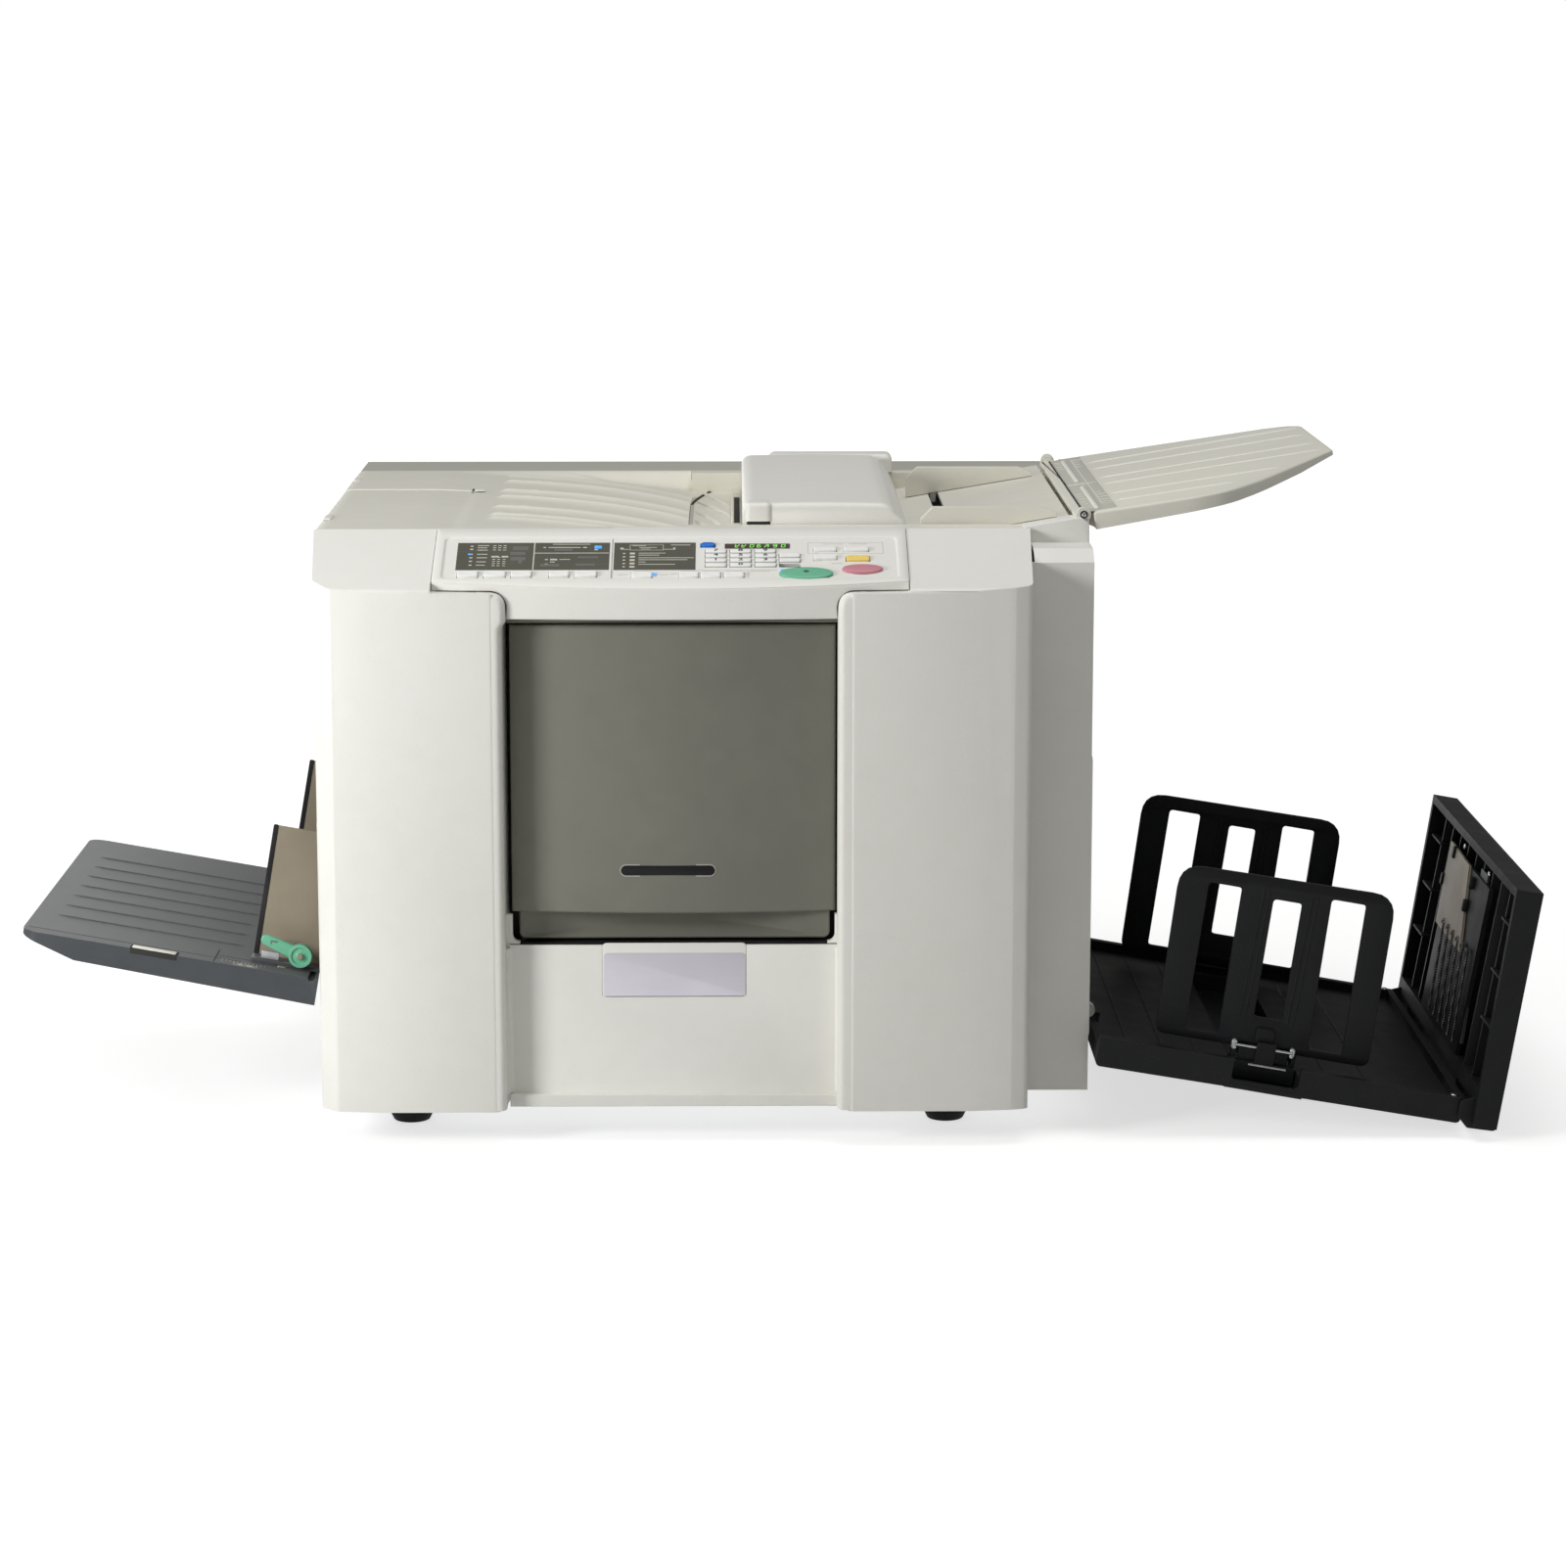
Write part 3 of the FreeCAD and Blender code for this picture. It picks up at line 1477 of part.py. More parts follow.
def make_electrics():
    rear = dims.rear_face - dims.wall
    board = box("board_sheet", (-250, 60), (304, 306), (270, 440))
    parts = [
        box("board_transformer", (-230, -180), (270, 304), (380, 425)),
        box("board_chip_a", (-150, -110), (299, 304), (340, 380)),
        box("board_chip_b", (-60, -25), (299, 304), (300, 335)),
        box("board_plug_row", (-20, 45), (292, 304), (405, 425)),
    ]
    posts = [
        rod(f"board_post_{i}", "Y", (x, z), 4, 306, rear)
        for i, (x, z) in enumerate(((-240, 280), (50, 280), (-240, 430), (50, 430)))
    ]
    node("circuit_board", join("board", board, *parts, *posts))

    shell = box("inlet_block", INLET_X, (300, dims.rear_face), INLET_Z)
    socket = box(
        "inlet_socket",
        (INLET_X[0] + 4, INLET_X[1] - 4),
        (308, dims.rear_face + 1),
        (INLET_Z[0] + 4, INLET_Z[1] - 4),
    )
    middle = sum(INLET_X) / 2
    pins = [
        box(f"inlet_pin_{i}", (middle + dx - 1, middle + dx + 1), (307, 320), (z, z + 5))
        for i, (dx, z) in enumerate(((-6, 75), (6, 75), (0, 80)))
    ]
    node("power_inlet", join("inlet", cut("inlet_open", shell, socket), *pins))

    rocker = prism(
        "rocker",
        "XZ",
        [(248, 99), (258, 99), (259.5, 110), (261.5, 121), (248, 121)],
        240.6,
        259.4,
    )
    stubs = rod("rocker_stubs", "Y", (252, 110), 2, 240, 260)
    node("power_switch", join("rocker_switch", rocker, stubs))


def build():
    make_base_pan()
    make_feet()
    make_front_covers()
    make_lower_panel()
    make_side_covers()
    make_rear_cover()
    make_panel()
    make_door()
    make_top()
    make_original_tray()
    make_original_guides()
    make_feed_tray()
    make_feed_guides()
    make_lift_plate()
    make_stack_tray()
    make_side_fences()
    make_end_fence()
    make_frames()
    make_drum()
    make_belt()
    make_rollers()
    make_paper_deck()
    make_electrics()


def check():
    """Stops if any object failed or any piece is empty, invalid or in loose bits."""
    doc.recompute()
    for obj in doc.Objects:
        if "Invalid" in obj.State or "Error" in obj.State:
            raise RuntimeError(f"{obj.Name} is {obj.State}")
    for label, obj in NODES.items():
        shape = obj.Shape
        if shape.isNull() or not shape.isValid() or not shape.Solids:
            raise RuntimeError(f"{label} has no valid solid")
        print(label, len(shape.Solids), "solids", round(shape.Volume / 1000, 1), "cm3")


def write():
    os.makedirs("parts", exist_ok=True)
    for label, obj in NODES.items():
        obj.Shape.exportStep(os.path.join("parts", label + ".step"))


build()
check()
write()
print(len(NODES), "nodes")
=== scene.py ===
# %% [markdown]
# # A digital duplicator, dressed for its picture
#
# A duplicator prints from a stencil wrapped round an inked drum. Paper comes in from the
# tray on the left, passes under the drum and lands between the fences on the right. The
# originals go in at the top right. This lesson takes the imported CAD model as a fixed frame
# and gives it the surface of the real machine: soft moulded edges, plastics with a grain,
# curved ribs, lamps, keys with digits, and fences with their slots and pins.

# %% Load the frame
import json
import math

import bmesh
import bpy
import numpy as np
from mathutils import Euler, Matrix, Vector

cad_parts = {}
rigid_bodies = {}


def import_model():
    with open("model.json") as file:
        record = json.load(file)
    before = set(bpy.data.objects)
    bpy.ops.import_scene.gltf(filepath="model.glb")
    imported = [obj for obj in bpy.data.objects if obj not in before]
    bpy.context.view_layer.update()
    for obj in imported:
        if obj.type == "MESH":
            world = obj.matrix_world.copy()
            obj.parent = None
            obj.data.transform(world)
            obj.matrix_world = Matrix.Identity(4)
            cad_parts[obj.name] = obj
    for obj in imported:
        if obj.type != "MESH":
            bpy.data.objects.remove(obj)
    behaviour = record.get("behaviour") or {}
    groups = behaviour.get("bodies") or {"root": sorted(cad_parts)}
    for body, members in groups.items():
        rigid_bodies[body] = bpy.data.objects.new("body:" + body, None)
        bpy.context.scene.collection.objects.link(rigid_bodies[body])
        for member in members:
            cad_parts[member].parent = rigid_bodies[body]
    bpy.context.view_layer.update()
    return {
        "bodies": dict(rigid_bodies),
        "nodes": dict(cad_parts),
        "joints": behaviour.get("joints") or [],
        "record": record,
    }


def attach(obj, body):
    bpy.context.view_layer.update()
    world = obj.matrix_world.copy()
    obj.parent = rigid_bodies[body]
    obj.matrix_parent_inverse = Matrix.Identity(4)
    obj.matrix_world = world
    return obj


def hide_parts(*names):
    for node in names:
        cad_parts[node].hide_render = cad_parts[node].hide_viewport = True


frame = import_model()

nodes = frame["nodes"]
mm = 0.001

# %% [markdown]
# ## Camera
#
# The picture was taken from 3.7 m in front and 0.93 m up, with a long lens. The camera's
# place was worked out from the edges of the body, so the same lens and place give the same
# proportions. A shifted lens would keep uprights parallel, but it would also push the other
# views out of the frame, so the camera is tipped down by ten degrees instead.

# %% Camera
camera = bpy.data.objects.new("camera", bpy.data.cameras.new("camera"))
bpy.context.scene.collection.objects.link(camera)
camera.location = (-0.038, -3.687, 0.934)
camera.rotation_euler = Euler((math.radians(90 - 10.596), 0, math.radians(-0.671)))
camera.data.lens = 96.44
camera.data.sensor_width = 36
bpy.context.scene.camera = camera
bpy.context.scene.view_settings.view_transform = "Standard"
print("lens", camera.data.lens, "mm")


# %% [markdown]
# ## Shapes from arrays
#
# Every new piece is a surface: a closed profile carried along a row of stations, or a grid
# of points worked out from two parameters. Arrays make the points in one go, and the faces
# follow from the order of the points. A shape here is a pair: the points, and the faces as
# rows of point numbers. Several shapes can be put together into one piece.

# %% A closed skin over a row of loops
def skin(loops, caps=(True, True)):
    """Points from loops[i, j]: station i, place j round the closed profile.

    Face (i, j) joins neighbours in both directions; the first and last loops are closed
    by one flat face each. The loops turn anticlockwise seen against the path's direction.
    """
    loops = np.asarray(loops, float)
    n, m = loops.shape[:2]
    i, j = np.meshgrid(np.arange(n - 1), np.arange(m), indexing="ij")
    k = (j + 1) % m
    quads = np.stack([i * m + j, i * m + k, (i + 1) * m + k, (i + 1) * m + j], -1)
    faces = quads.reshape(-1, 4).tolist()
    if caps[0]:
        faces.append(list(range(m - 1, -1, -1)))
    if caps[1]:
        faces.append(list(range((n - 1) * m, n * m)))
    return loops.reshape(-1, 3), faces


def stacked(rows, caps=(True, True)):
    """A skin over flat outlines: each row is an outline in x and y, and its height."""
    return skin([np.column_stack([line, np.full(len(line), z)]) for line, z in rows], caps)


def gather(shapes):
    """Puts shapes into one: points stacked, face numbers moved up by the points before."""
    points, faces, count = [], [], 0
    for p, f in shapes:
        points.append(p)
        faces.extend([[c + count for c in face] for face in f])
        count += len(p)
    return np.concatenate(points), faces


print("four square loops make", len(skin(np.zeros((4, 4, 3)))[1]), "faces")


# %% Outlines in a plane
def ring(radius_x, radius_y=None, count=32):
    """An ellipse: x = a cos t, y = b sin t, t once round."""
    t = np.linspace(0, 2 * math.pi, count, endpoint=False)
    return np.stack([radius_x * np.cos(t), (radius_y or radius_x) * np.sin(t)], -1)


def rounded(width, depth, radius, steps=5):
    """A rectangle whose corners are quarter circles of the given radius."""
    radius = min(radius, width / 2 - 1e-6, depth / 2 - 1e-6)
    t = np.linspace(0, math.pi / 2, steps)
    arc = np.stack([np.cos(t), np.sin(t)], -1) * radius
    corners = []
    for turn, (sx, sy) in enumerate([(1, 1), (-1, 1), (-1, -1), (1, -1)]):
        c, s = math.cos(turn * math.pi / 2), math.sin(turn * math.pi / 2)
        turned = arc @ np.array([[c, s], [-s, c]])
        corners.append(turned + [sx * (width / 2 - radius), sy * (depth / 2 - radius)])
    return np.concatenate(corners)


def rounded_corners(points, radius, steps=6):
    """Replaces each corner of a polygon by a soft curve that touches both sides."""
    points = np.asarray(points, float)
    radius = np.broadcast_to(radius, (len(points),))
    out = []
    for here, before, after, r in zip(points, np.roll(points, 1, 0), np.roll(points, -1, 0), radius):
        a = (before - here) / np.linalg.norm(before - here)
        b = (after - here) / np.linalg.norm(after - here)
        half = math.acos(float(np.clip(a @ b, -1, 1))) / 2
        start, end = here + a * r / math.tan(half), here + b * r / math.tan(half)
        t = np.linspace(0, 1, steps)[:, None]
        out.append((1 - t) ** 2 * start + 2 * t * (1 - t) * here + t**2 * end)
    return np.concatenate(out)


def inset(outline, amount):
    """Moves each point of an anticlockwise outline inwards along its own normal."""
    ahead = np.roll(outline, -1, 0) - outline
    behind = outline - np.roll(outline, 1, 0)
    unit = lambda v: v / np.maximum(np.linalg.norm(v, axis=1, keepdims=True), 1e-12)
    a, b = unit(ahead), unit(behind)
    normal = np.stack([-(a + b)[:, 1], (a + b)[:, 0]], -1)
    length = np.linalg.norm(normal, axis=1, keepdims=True)
    half = np.maximum(length / 2, 0.35)
    return outline + unit(normal) * amount / half


print("a rounded square has", len(rounded(9, 9, 1)), "points")


# %% A raised pad with soft upper edges
def pad(outline, low, high, edge, crown=0.0, dish=0.0, steps=4):
    """The outline carried from low to high, its upper edge a quarter circle of size edge.

    A top that swells by crown or sinks by dish shrinks towards its middle in three steps,
    and its height follows the square of the distance left. A flat top is one face.
    """
    outline = np.asarray(outline, float)
    rows = [(outline, low)]
    for angle in np.linspace(0, math.pi / 2, steps):
        shrunk = inset(outline, edge * (1 - math.cos(angle)))
        rows.append((shrunk, high - edge + edge * math.sin(angle)))
    if crown == dish:
        return stacked(rows)
    middle = outline.mean(0)
    top = inset(outline, edge)
    for share in (0.75, 0.5, 0.25):
        height = high + (crown - dish) * (1 - share**2)
        rows.append((middle + (top - middle) * share, height))
    return stacked(rows)


def turned(profile, count=72, caps=(False, False)):
    """A ring: the profile of radii and heights carried once round the middle."""
    return stacked([(ring(r, count=count), z) for r, z in profile], caps)


print("a flat pad on a square has", len(pad(rounded(9, 9, 1), 0, 3, 1)[1]), "faces")


# %% Frames, so that a shape can be drawn flat and stood where it belongs
def frame_at(origin, turn=(0, 0, 0)):
    """A place and three turns in degrees about X, then Y, then Z, as a matrix and a point."""
    matrix = np.array(Euler([math.radians(a) for a in turn]).to_matrix())
    return matrix, np.asarray(origin, float)


def put(shape, at):
    """Turns the points of a shape and moves them to a frame."""
    points, faces = shape
    return points @ at[0].T + at[1], faces


def shifted(shape, offset):
    """Moves the points of a shape by an offset."""
    return shape[0] + np.asarray(offset, float), shape[1]


def upright(shape):
    """Stands a flat shape up, so that its top faces -y and its y axis points up."""
    points, faces = shape
    return np.column_stack([points[:, 0], -points[:, 2], points[:, 1]]), faces


BODY_MIDDLE = -88.5
PANEL_FRONT = -327
PANEL_FOOT = 464
PANEL_DEGREES = 20.807
PANEL_ANGLE = math.radians(PANEL_DEGREES)
WORLD = frame_at((0, 0, 0))
PANEL = frame_at((0, PANEL_FRONT, PANEL_FOOT), (PANEL_DEGREES, 0, 0))
FEED = frame_at((-388, -109, 138.1), (0, 10, 0))
STACK = frame_at((262, -109, 88), (0, 10, 0))
ORIGINAL = frame_at((252.5, 0, 512.6), (0, -8.5, 0))
print("the panel slopes", PANEL_DEGREES, "degrees; the body's middle is at x =", BODY_MIDDLE)


# %% From arrays to a piece
made = []


def piece(name, shape, look, body, slot=None, replaces=(), smooth=35):
    """Writes the points, in mm, into a mesh, gives it its finish and hangs it on a body.

    The look is a material when a slot is given, or else the name of a finish. Only whether a slot is
    given is read, to tell the two apart.
    """
    points, faces = shape
    mesh = bpy.data.meshes.new(name)
    mesh.from_pydata((points * mm).tolist(), [], faces)
    mesh.validate()
    tidy = bmesh.new()
    tidy.from_mesh(mesh)
    bmesh.ops.remove_doubles(tidy, verts=tidy.verts, dist=1e-7)
    bmesh.ops.recalc_face_normals(tidy, faces=tidy.faces)
    tidy.to_mesh(mesh)
    tidy.free()
    mesh.shade_smooth()
    mesh.set_sharp_from_angle(angle=math.radians(smooth))
    thing = bpy.data.objects.new(name, mesh)
    bpy.context.scene.collection.objects.link(thing)
    mesh.materials.append(look if slot else finish[look])
    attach(thing, body)
    if replaces:
        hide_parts(*replaces)
    made.append(name)


def soften(thing, width, segments):
    """A live bevel rounds every edge sharper than 32 degrees."""
    bevel = thing.modifiers.new("soft_edges", "BEVEL")
    bevel.width = width * mm
    bevel.segments = segments
    bevel.limit_method = "ANGLE"
    bevel.angle_limit = math.radians(32)
    bevel.harden_normals = True
    bevel.use_clamp_overlap = True


# %% [markdown]
# ## Shader maths
#
# A pattern in a shader is a sum: noise times a strength, plus an edge mask, and so on. One
# small class wraps a socket, so that the sum can be written as a sum, and each sign adds one
# Math node. One method adds every other kind of node.

# %% A socket that can be added and multiplied
def srgb(r, g, b):
    """Turns a colour of 0 to 255, as seen in a picture, into the linear light of a shader."""
    c = np.array([r, g, b]) / 255
    low = c / 12.92
    high = ((c + 0.055) / 1.055) ** 2.4
    return (*np.where(c <= 0.04045, low, high).tolist(), 1.0)


class Socket:
    """One output of a node. Signs between two of them, or with a number, add Math nodes."""

    def __init__(self, finish, output):
        """Keeps the finish that the nodes are added to, and the output that is read."""
        self.finish = finish
        self.output = output

    def _maths(self, operation, first, second):
        """Adds one Math node; first and second are sockets or plain numbers."""
        return self.finish.add("Math", {"operation": operation}, {0: first, 1: second})

    def __add__(self, other):
        return self._maths("ADD", self, other)

    def __radd__(self, other):
        return self._maths("ADD", other, self)

    def __sub__(self, other):
        return self._maths("SUBTRACT", self, other)

    def __rsub__(self, other):
        return self._maths("SUBTRACT", other, self)

    def __mul__(self, other):
        return self._maths("MULTIPLY", self, other)

    def larger(self, other):
        """The larger of the two."""
        return self._maths("MAXIMUM", self, other)


class Finish:
    """A material under construction, around one Principled shader."""

    def __init__(self, name, **fixed):
        """Makes the material; fixed holds plain values for the shader's sockets."""
        self.material = bpy.data.materials.new(name)
        self.material.use_nodes = True
        self.tree = self.material.node_tree
        self.shader = self.tree.nodes["Principled BSDF"]
        for key, value in fixed.items():
            self.shader.inputs[key.replace("_", " ")].default_value = value
        self.place = self.add("TexCoord", out="Object")

    def add(self, kind, settings=None, inputs=None, out=0):
        """Adds a node: its settings first, then the values or links of its sockets."""
        node = self.tree.nodes.new("ShaderNode" + kind)
        for key, value in (settings or {}).items():
            setattr(node, key, value)
        for key, value in (inputs or {}).items():
            self.feed(node.inputs[key], value)
        return Socket(self, node.outputs[out])

    def feed(self, socket, value):
        """Links a wrapped socket, or writes a plain value."""
        if isinstance(value, Socket):
            self.tree.links.new(value.output, socket)
        else:
            socket.default_value = value

    def set(self, name, value):
        """Feeds one socket of the shader."""
        self.feed(self.shader.inputs[name], value)

    def noise(self, scale, detail, at=None):
        """Cloudy noise in metres: scale 100 gives blobs of about a centimetre."""
        inputs = {"Vector": at or self.place, "Scale": scale, "Detail": detail, "Roughness": 0.5}
        return self.add("TexNoise", {"noise_dimensions": "3D"}, inputs)

    def stretch(self, x, y, z):
        """The place, squeezed so that a pattern runs longer along one axis."""
        return self.add("Mapping", None, {"Vector": self.place, "Scale": (x, y, z)})

    def steps(self, value, low, high):
        """Nought under low, one over high, straight between."""
        settings = {"clamp": True}
        inputs = {"Value": value, "From Min": low, "From Max": high}
        return self.add("MapRange", settings, inputs)

    def blend(self, share, first, second):
        """A colour between two colours."""
        inputs = {0: share, 6: first, 7: second}
        return self.add("Mix", {"data_type": "RGBA"}, inputs, 2)

    def edges(self, radius=0.0012):
        """One on sharp edges: the angle between the true face and a rounded-off one."""
        soft = self.add("Bevel", {"samples": 4}, {"Radius": radius})
        true = self.add("NewGeometry", None, None, "True Normal")
        turn = self.add("VectorMath", {"operation": "DOT_PRODUCT"}, {0: soft, 1: true}, "Value")
        return self.steps(1 - turn, 0.02, 0.25)

    def bump(self, height, distance):
        """Turns a height of 0 to 1 into a bump of so many metres."""
        return self.add("Bump", None, {"Height": height, "Distance": distance, "Strength": 1.0})


print("a grey of 128 is", round(srgb(128, 128, 128)[0], 3), "in linear light")

# %% [markdown]
# ## Moulded plastic
#
# Almost the whole skin of the machine is injection-moulded plastic. The mould is etched, so
# the surface has a fine even grain that scatters light. Over the years the colour drifts
# a little from place to place, hands leave smoother patches, the corners rub pale, and dust
# settles in faint streaks. One function gives all of this, in other colours and strengths
# for each kind of plastic on the machine. On the dark tray plastic it also paints the tops
# paler in a mottle, a painted sheen. Two copies of the white plastic are made darker as
# painted shade: one for the tops, one for the back.

# %% Moulded plastic
def moulded(name, colour, drift, rub, rough=0.42, grain=900, depth=0.00006, seed=0.0,
            dust_and_sheen=0.0, gloss=0.42):
    """Base colour drifting to another, rubbed edges, a paler mottle on up-facing surfaces that is
    painted sheen of the tops, grain as a bump.

    Rough and gloss set how broad and how strong the shine is, grain how fine the etched
    texture is, depth its height in metres, and seed shifts the clouds to another place.
    """
    f = Finish(name, Specular_IOR_Level=gloss)
    moved = f.add("Mapping", None, {"Vector": f.place, "Location": (seed, seed * 0.7, 0)})
    cloud = f.noise(3.1, 3, at=moved)
    mottle = f.noise(46, 3, at=moved)
    streak = f.noise(9, 4, at=f.stretch(1, 1, 0.12))
    fine = f.noise(grain, 2)
    speck = f.steps(f.noise(620, 0, at=moved), 0.74, 0.78)
    edge = f.edges()
    share = f.steps(cloud * 0.7 + mottle * 0.3, 0.38, 0.66)
    tint = f.blend(share * 0.7, colour, drift)
    tint = f.blend(f.steps(streak, 0.5, 0.75) * 0.25, tint, drift)
    tint = f.blend(fine * 0.1, tint, drift)
    tint = f.blend(speck * 0.05, tint, srgb(120, 114, 100))
    tint = f.blend(edge * 0.45, tint, rub)
    # Up-facing surfaces turn paler in a mottle: painted sheen on the tops, patchy like dust.
    if dust_and_sheen:
        true = f.add("NewGeometry", None, None, "Normal")
        up = f.steps(f.add("SeparateXYZ", None, {"Vector": true}, "Z"), 0.5, 0.95)
        tint = f.blend(up * (0.5 + mottle * 0.5) * dust_and_sheen, tint, srgb(168, 168, 166))
    f.set("Base Color", tint)
    f.set("Roughness", rough - 0.05 + mottle * 0.14 + streak * 0.05 - edge * 0.08)
    f.set("Normal", f.bump(fine * 0.8 + mottle * 0.25, depth))
    return f.material


finish = {}
PLASTICS = {
    "white_plastic": ((237, 236, 230), (230, 228, 220), (245, 245, 240), {}),
    # The white plastic made a little darker and warmer: painted shade for the top surfaces.
    "grey_top_plastic": ((230, 228, 216), (220, 217, 203), (240, 239, 230),
                         {"rough": 0.46, "seed": 0.3}),
    "door_grey": ((122, 122, 111), (108, 109, 99), (150, 150, 140),
                  {"rough": 0.5, "grain": 700, "depth": 0.00009, "seed": 0.6}),
    # The dark tray plastic gets paler tops: painted sheen, patchy like dust.
    "tray_grey": ((66, 70, 74), (52, 55, 58), (104, 108, 112),
                  {"rough": 0.48, "grain": 800, "depth": 0.00008, "seed": 0.9, "dust_and_sheen": 0.3}),
    "black_plastic": ((20, 21, 23), (15, 15, 17), (52, 53, 56),
                      {"rough": 0.5, "depth": 0.00007, "seed": 1.2, "gloss": 0.2}),
    "guide_brown": ((150, 139, 120), (132, 121, 103), (176, 168, 152),
                    {"rough": 0.44, "seed": 1.5}),
    "green_plastic": ((112, 190, 154), (96, 172, 138), (158, 214, 188),
                      {"rough": 0.3, "grain": 1200, "depth": 0.00002, "seed": 1.8}),
    "pink_plastic": ((214, 146, 156), (200, 130, 142), (232, 180, 188),
                     {"rough": 0.3, "grain": 1200, "depth": 0.00002, "seed": 2.1}),
    "yellow_plastic": ((250, 222, 122), (240, 204, 98), (253, 232, 160),
                       {"rough": 0.32, "grain": 1200, "depth": 0.00002, "seed": 2.4}),
    "blue_plastic": ((20, 118, 218), (14, 100, 196), (92, 166, 236),
                     {"rough": 0.3, "grain": 1200, "depth": 0.00002, "seed": 2.7}),
    "key_white": ((244, 244, 241), (236, 236, 232), (250, 250, 248),
                  {"rough": 0.36, "grain": 1200, "depth": 0.00003, "seed": 3.0}),
    # A darker copy of the white plastic: painted shade for the back and its top ridge.
    "rear_shaded_plastic": ((190, 189, 178), (182, 181, 169), (208, 207, 198), {"seed": 3.3}),
}
for name, (colour, drift, rub, rest) in PLASTICS.items():
    finish[name] = moulded(name, srgb(*colour), srgb(*drift), srgb(*rub), **rest)
print("plastics", len(finish))

# %% [markdown]
# ## Rubber, glass, metal and the rest
#
# The feet and rollers are rubber: nearly black, matt, with a chalky bloom. The windows are
# tinted acrylic over a dark print. Steel plate is bright zinc with a faint spangle, shafts
# are turned and show fine rings, and the drum is a woven stainless screen.


# %% Rubber
def rubber(name, colour, bloom):
    """Matt black with a pale bloom in patches and on edges."""
    f = Finish(name, Specular_IOR_Level=0.3)
    cloud = f.noise(22, 4)
    fine = f.noise(1400, 2)
    edge = f.edges(0.001)
    share = f.steps(cloud, 0.4, 0.75) * 0.5 + edge * 0.35 + fine * 0.1
    f.set("Base Color", f.blend(share, colour, bloom))
    f.set("Roughness", 0.68 + cloud * 0.2)
    f.set("Normal", f.bump(fine, 0.00008))
    return f.material


finish["black_rubber"] = rubber("black_rubber", srgb(24, 24, 26), srgb(62, 61, 60))
print("rubber nodes", len(finish["black_rubber"].node_tree.nodes))


# %% Tinted window
def window(name, colour, drift):
    """Smooth acrylic: dark, slightly uneven, with dust and hair scratches in its gloss."""
    f = Finish(name, Coat_Weight=0.6, Coat_Roughness=0.06)
    cloud = f.noise(14, 2)
    scratch = f.noise(240, 3, at=f.stretch(0.04, 1, 1))
    dust_and_sheen = f.steps(f.noise(520, 1), 0.72, 0.8)
    f.set("Base Color", f.blend(f.steps(cloud, 0.35, 0.7) * 0.6 + dust_and_sheen * 0.2, colour, drift))
    f.set("Roughness", 0.16 + f.steps(scratch, 0.6, 0.7) * 0.16 + cloud * 0.08)
    f.set("Normal", f.bump(scratch, 0.00001))
    return f.material


finish["dark_window"] = window("dark_window", srgb(88, 87, 74), srgb(74, 73, 62))
print("window nodes", len(finish["dark_window"].node_tree.nodes))


# %% Metals
def metal(name, colour, stain, rough, stretch, base=1.0):
    """Metal with brushed or turned lines: noise squeezed along one axis."""
    f = Finish(name)
    lines = f.noise(700, 2, at=f.stretch(*stretch))
    cloud = f.noise(12, 4)
    edge = f.edges(0.0008)
    f.set("Base Color", f.blend(f.steps(cloud, 0.4, 0.75) * 0.5 + lines * 0.15, colour, stain))
    f.set("Metallic", base - f.steps(cloud, 0.62, 0.8) * 0.25)
    f.set("Roughness", rough + lines * 0.14 + cloud * 0.08 - edge * 0.1)
    f.set("Normal", f.bump(lines, 0.00002))
    return f.material


finish["sheet_steel"] = metal(
    "sheet_steel", srgb(186, 189, 192), srgb(150, 150, 146), 0.34, (1, 1, 0.05))
finish["turned_steel"] = metal(
    "turned_steel", srgb(200, 201, 203), srgb(160, 158, 154), 0.18, (0.05, 1, 0.05))
finish["aluminium_bar"] = metal(
    "aluminium_bar", srgb(205, 206, 208), srgb(176, 176, 176), 0.3, (0.05, 1, 1))
finish["badge_metal"] = metal(
    "badge_metal", srgb(206, 202, 210), srgb(190, 184, 196), 0.36, (0.04, 1, 1), base=0.55)
print("finishes so far", len(finish))


# %% Woven screen of the drum
def screen(name):
    """Two sets of fine rings crossing, as heights and as a darker weave."""
    f = Finish(name)
    bands = {"bands_direction": "Y", "wave_profile": "SIN"}
    across = f.add("TexWave", bands, {"Vector": f.place, "Scale": 140.0}, 1)
    hoop = {"bands_direction": "Z", "wave_profile": "SIN"}
    around = f.add("TexWave", hoop, {"Vector": f.place, "Scale": 140.0}, 1)
    weave = across * around
    ink = f.steps(f.noise(18, 4), 0.5, 0.7)
    tint = f.blend(weave * 0.6, srgb(60, 60, 62), srgb(170, 171, 174))
    f.set("Base Color", f.blend(ink * 0.5, tint, srgb(26, 26, 30)))
    f.set("Metallic", 0.85 - ink * 0.6)
    f.set("Roughness", 0.34 + ink * 0.2)
    f.set("Normal", f.bump(weave, 0.0002))
    return f.material


finish["screen_steel"] = screen("screen_steel")
print("screen nodes", len(finish["screen_steel"].node_tree.nodes))


# %% Master film and circuit board
def film(name):
    """A roll of thin film: glossy, faintly ribbed where the layers end."""
    f = Finish(name, Coat_Weight=0.3)
    layers = f.noise(1500, 1, at=f.stretch(0.02, 1, 0.02))
    cloud = f.noise(20, 3)
    f.set("Base Color", f.blend(cloud, srgb(214, 216, 210), srgb(198, 201, 196)))
    f.set("Roughness", 0.28 + layers * 0.15)
    f.set("Normal", f.bump(layers, 0.00005))
    return f.material


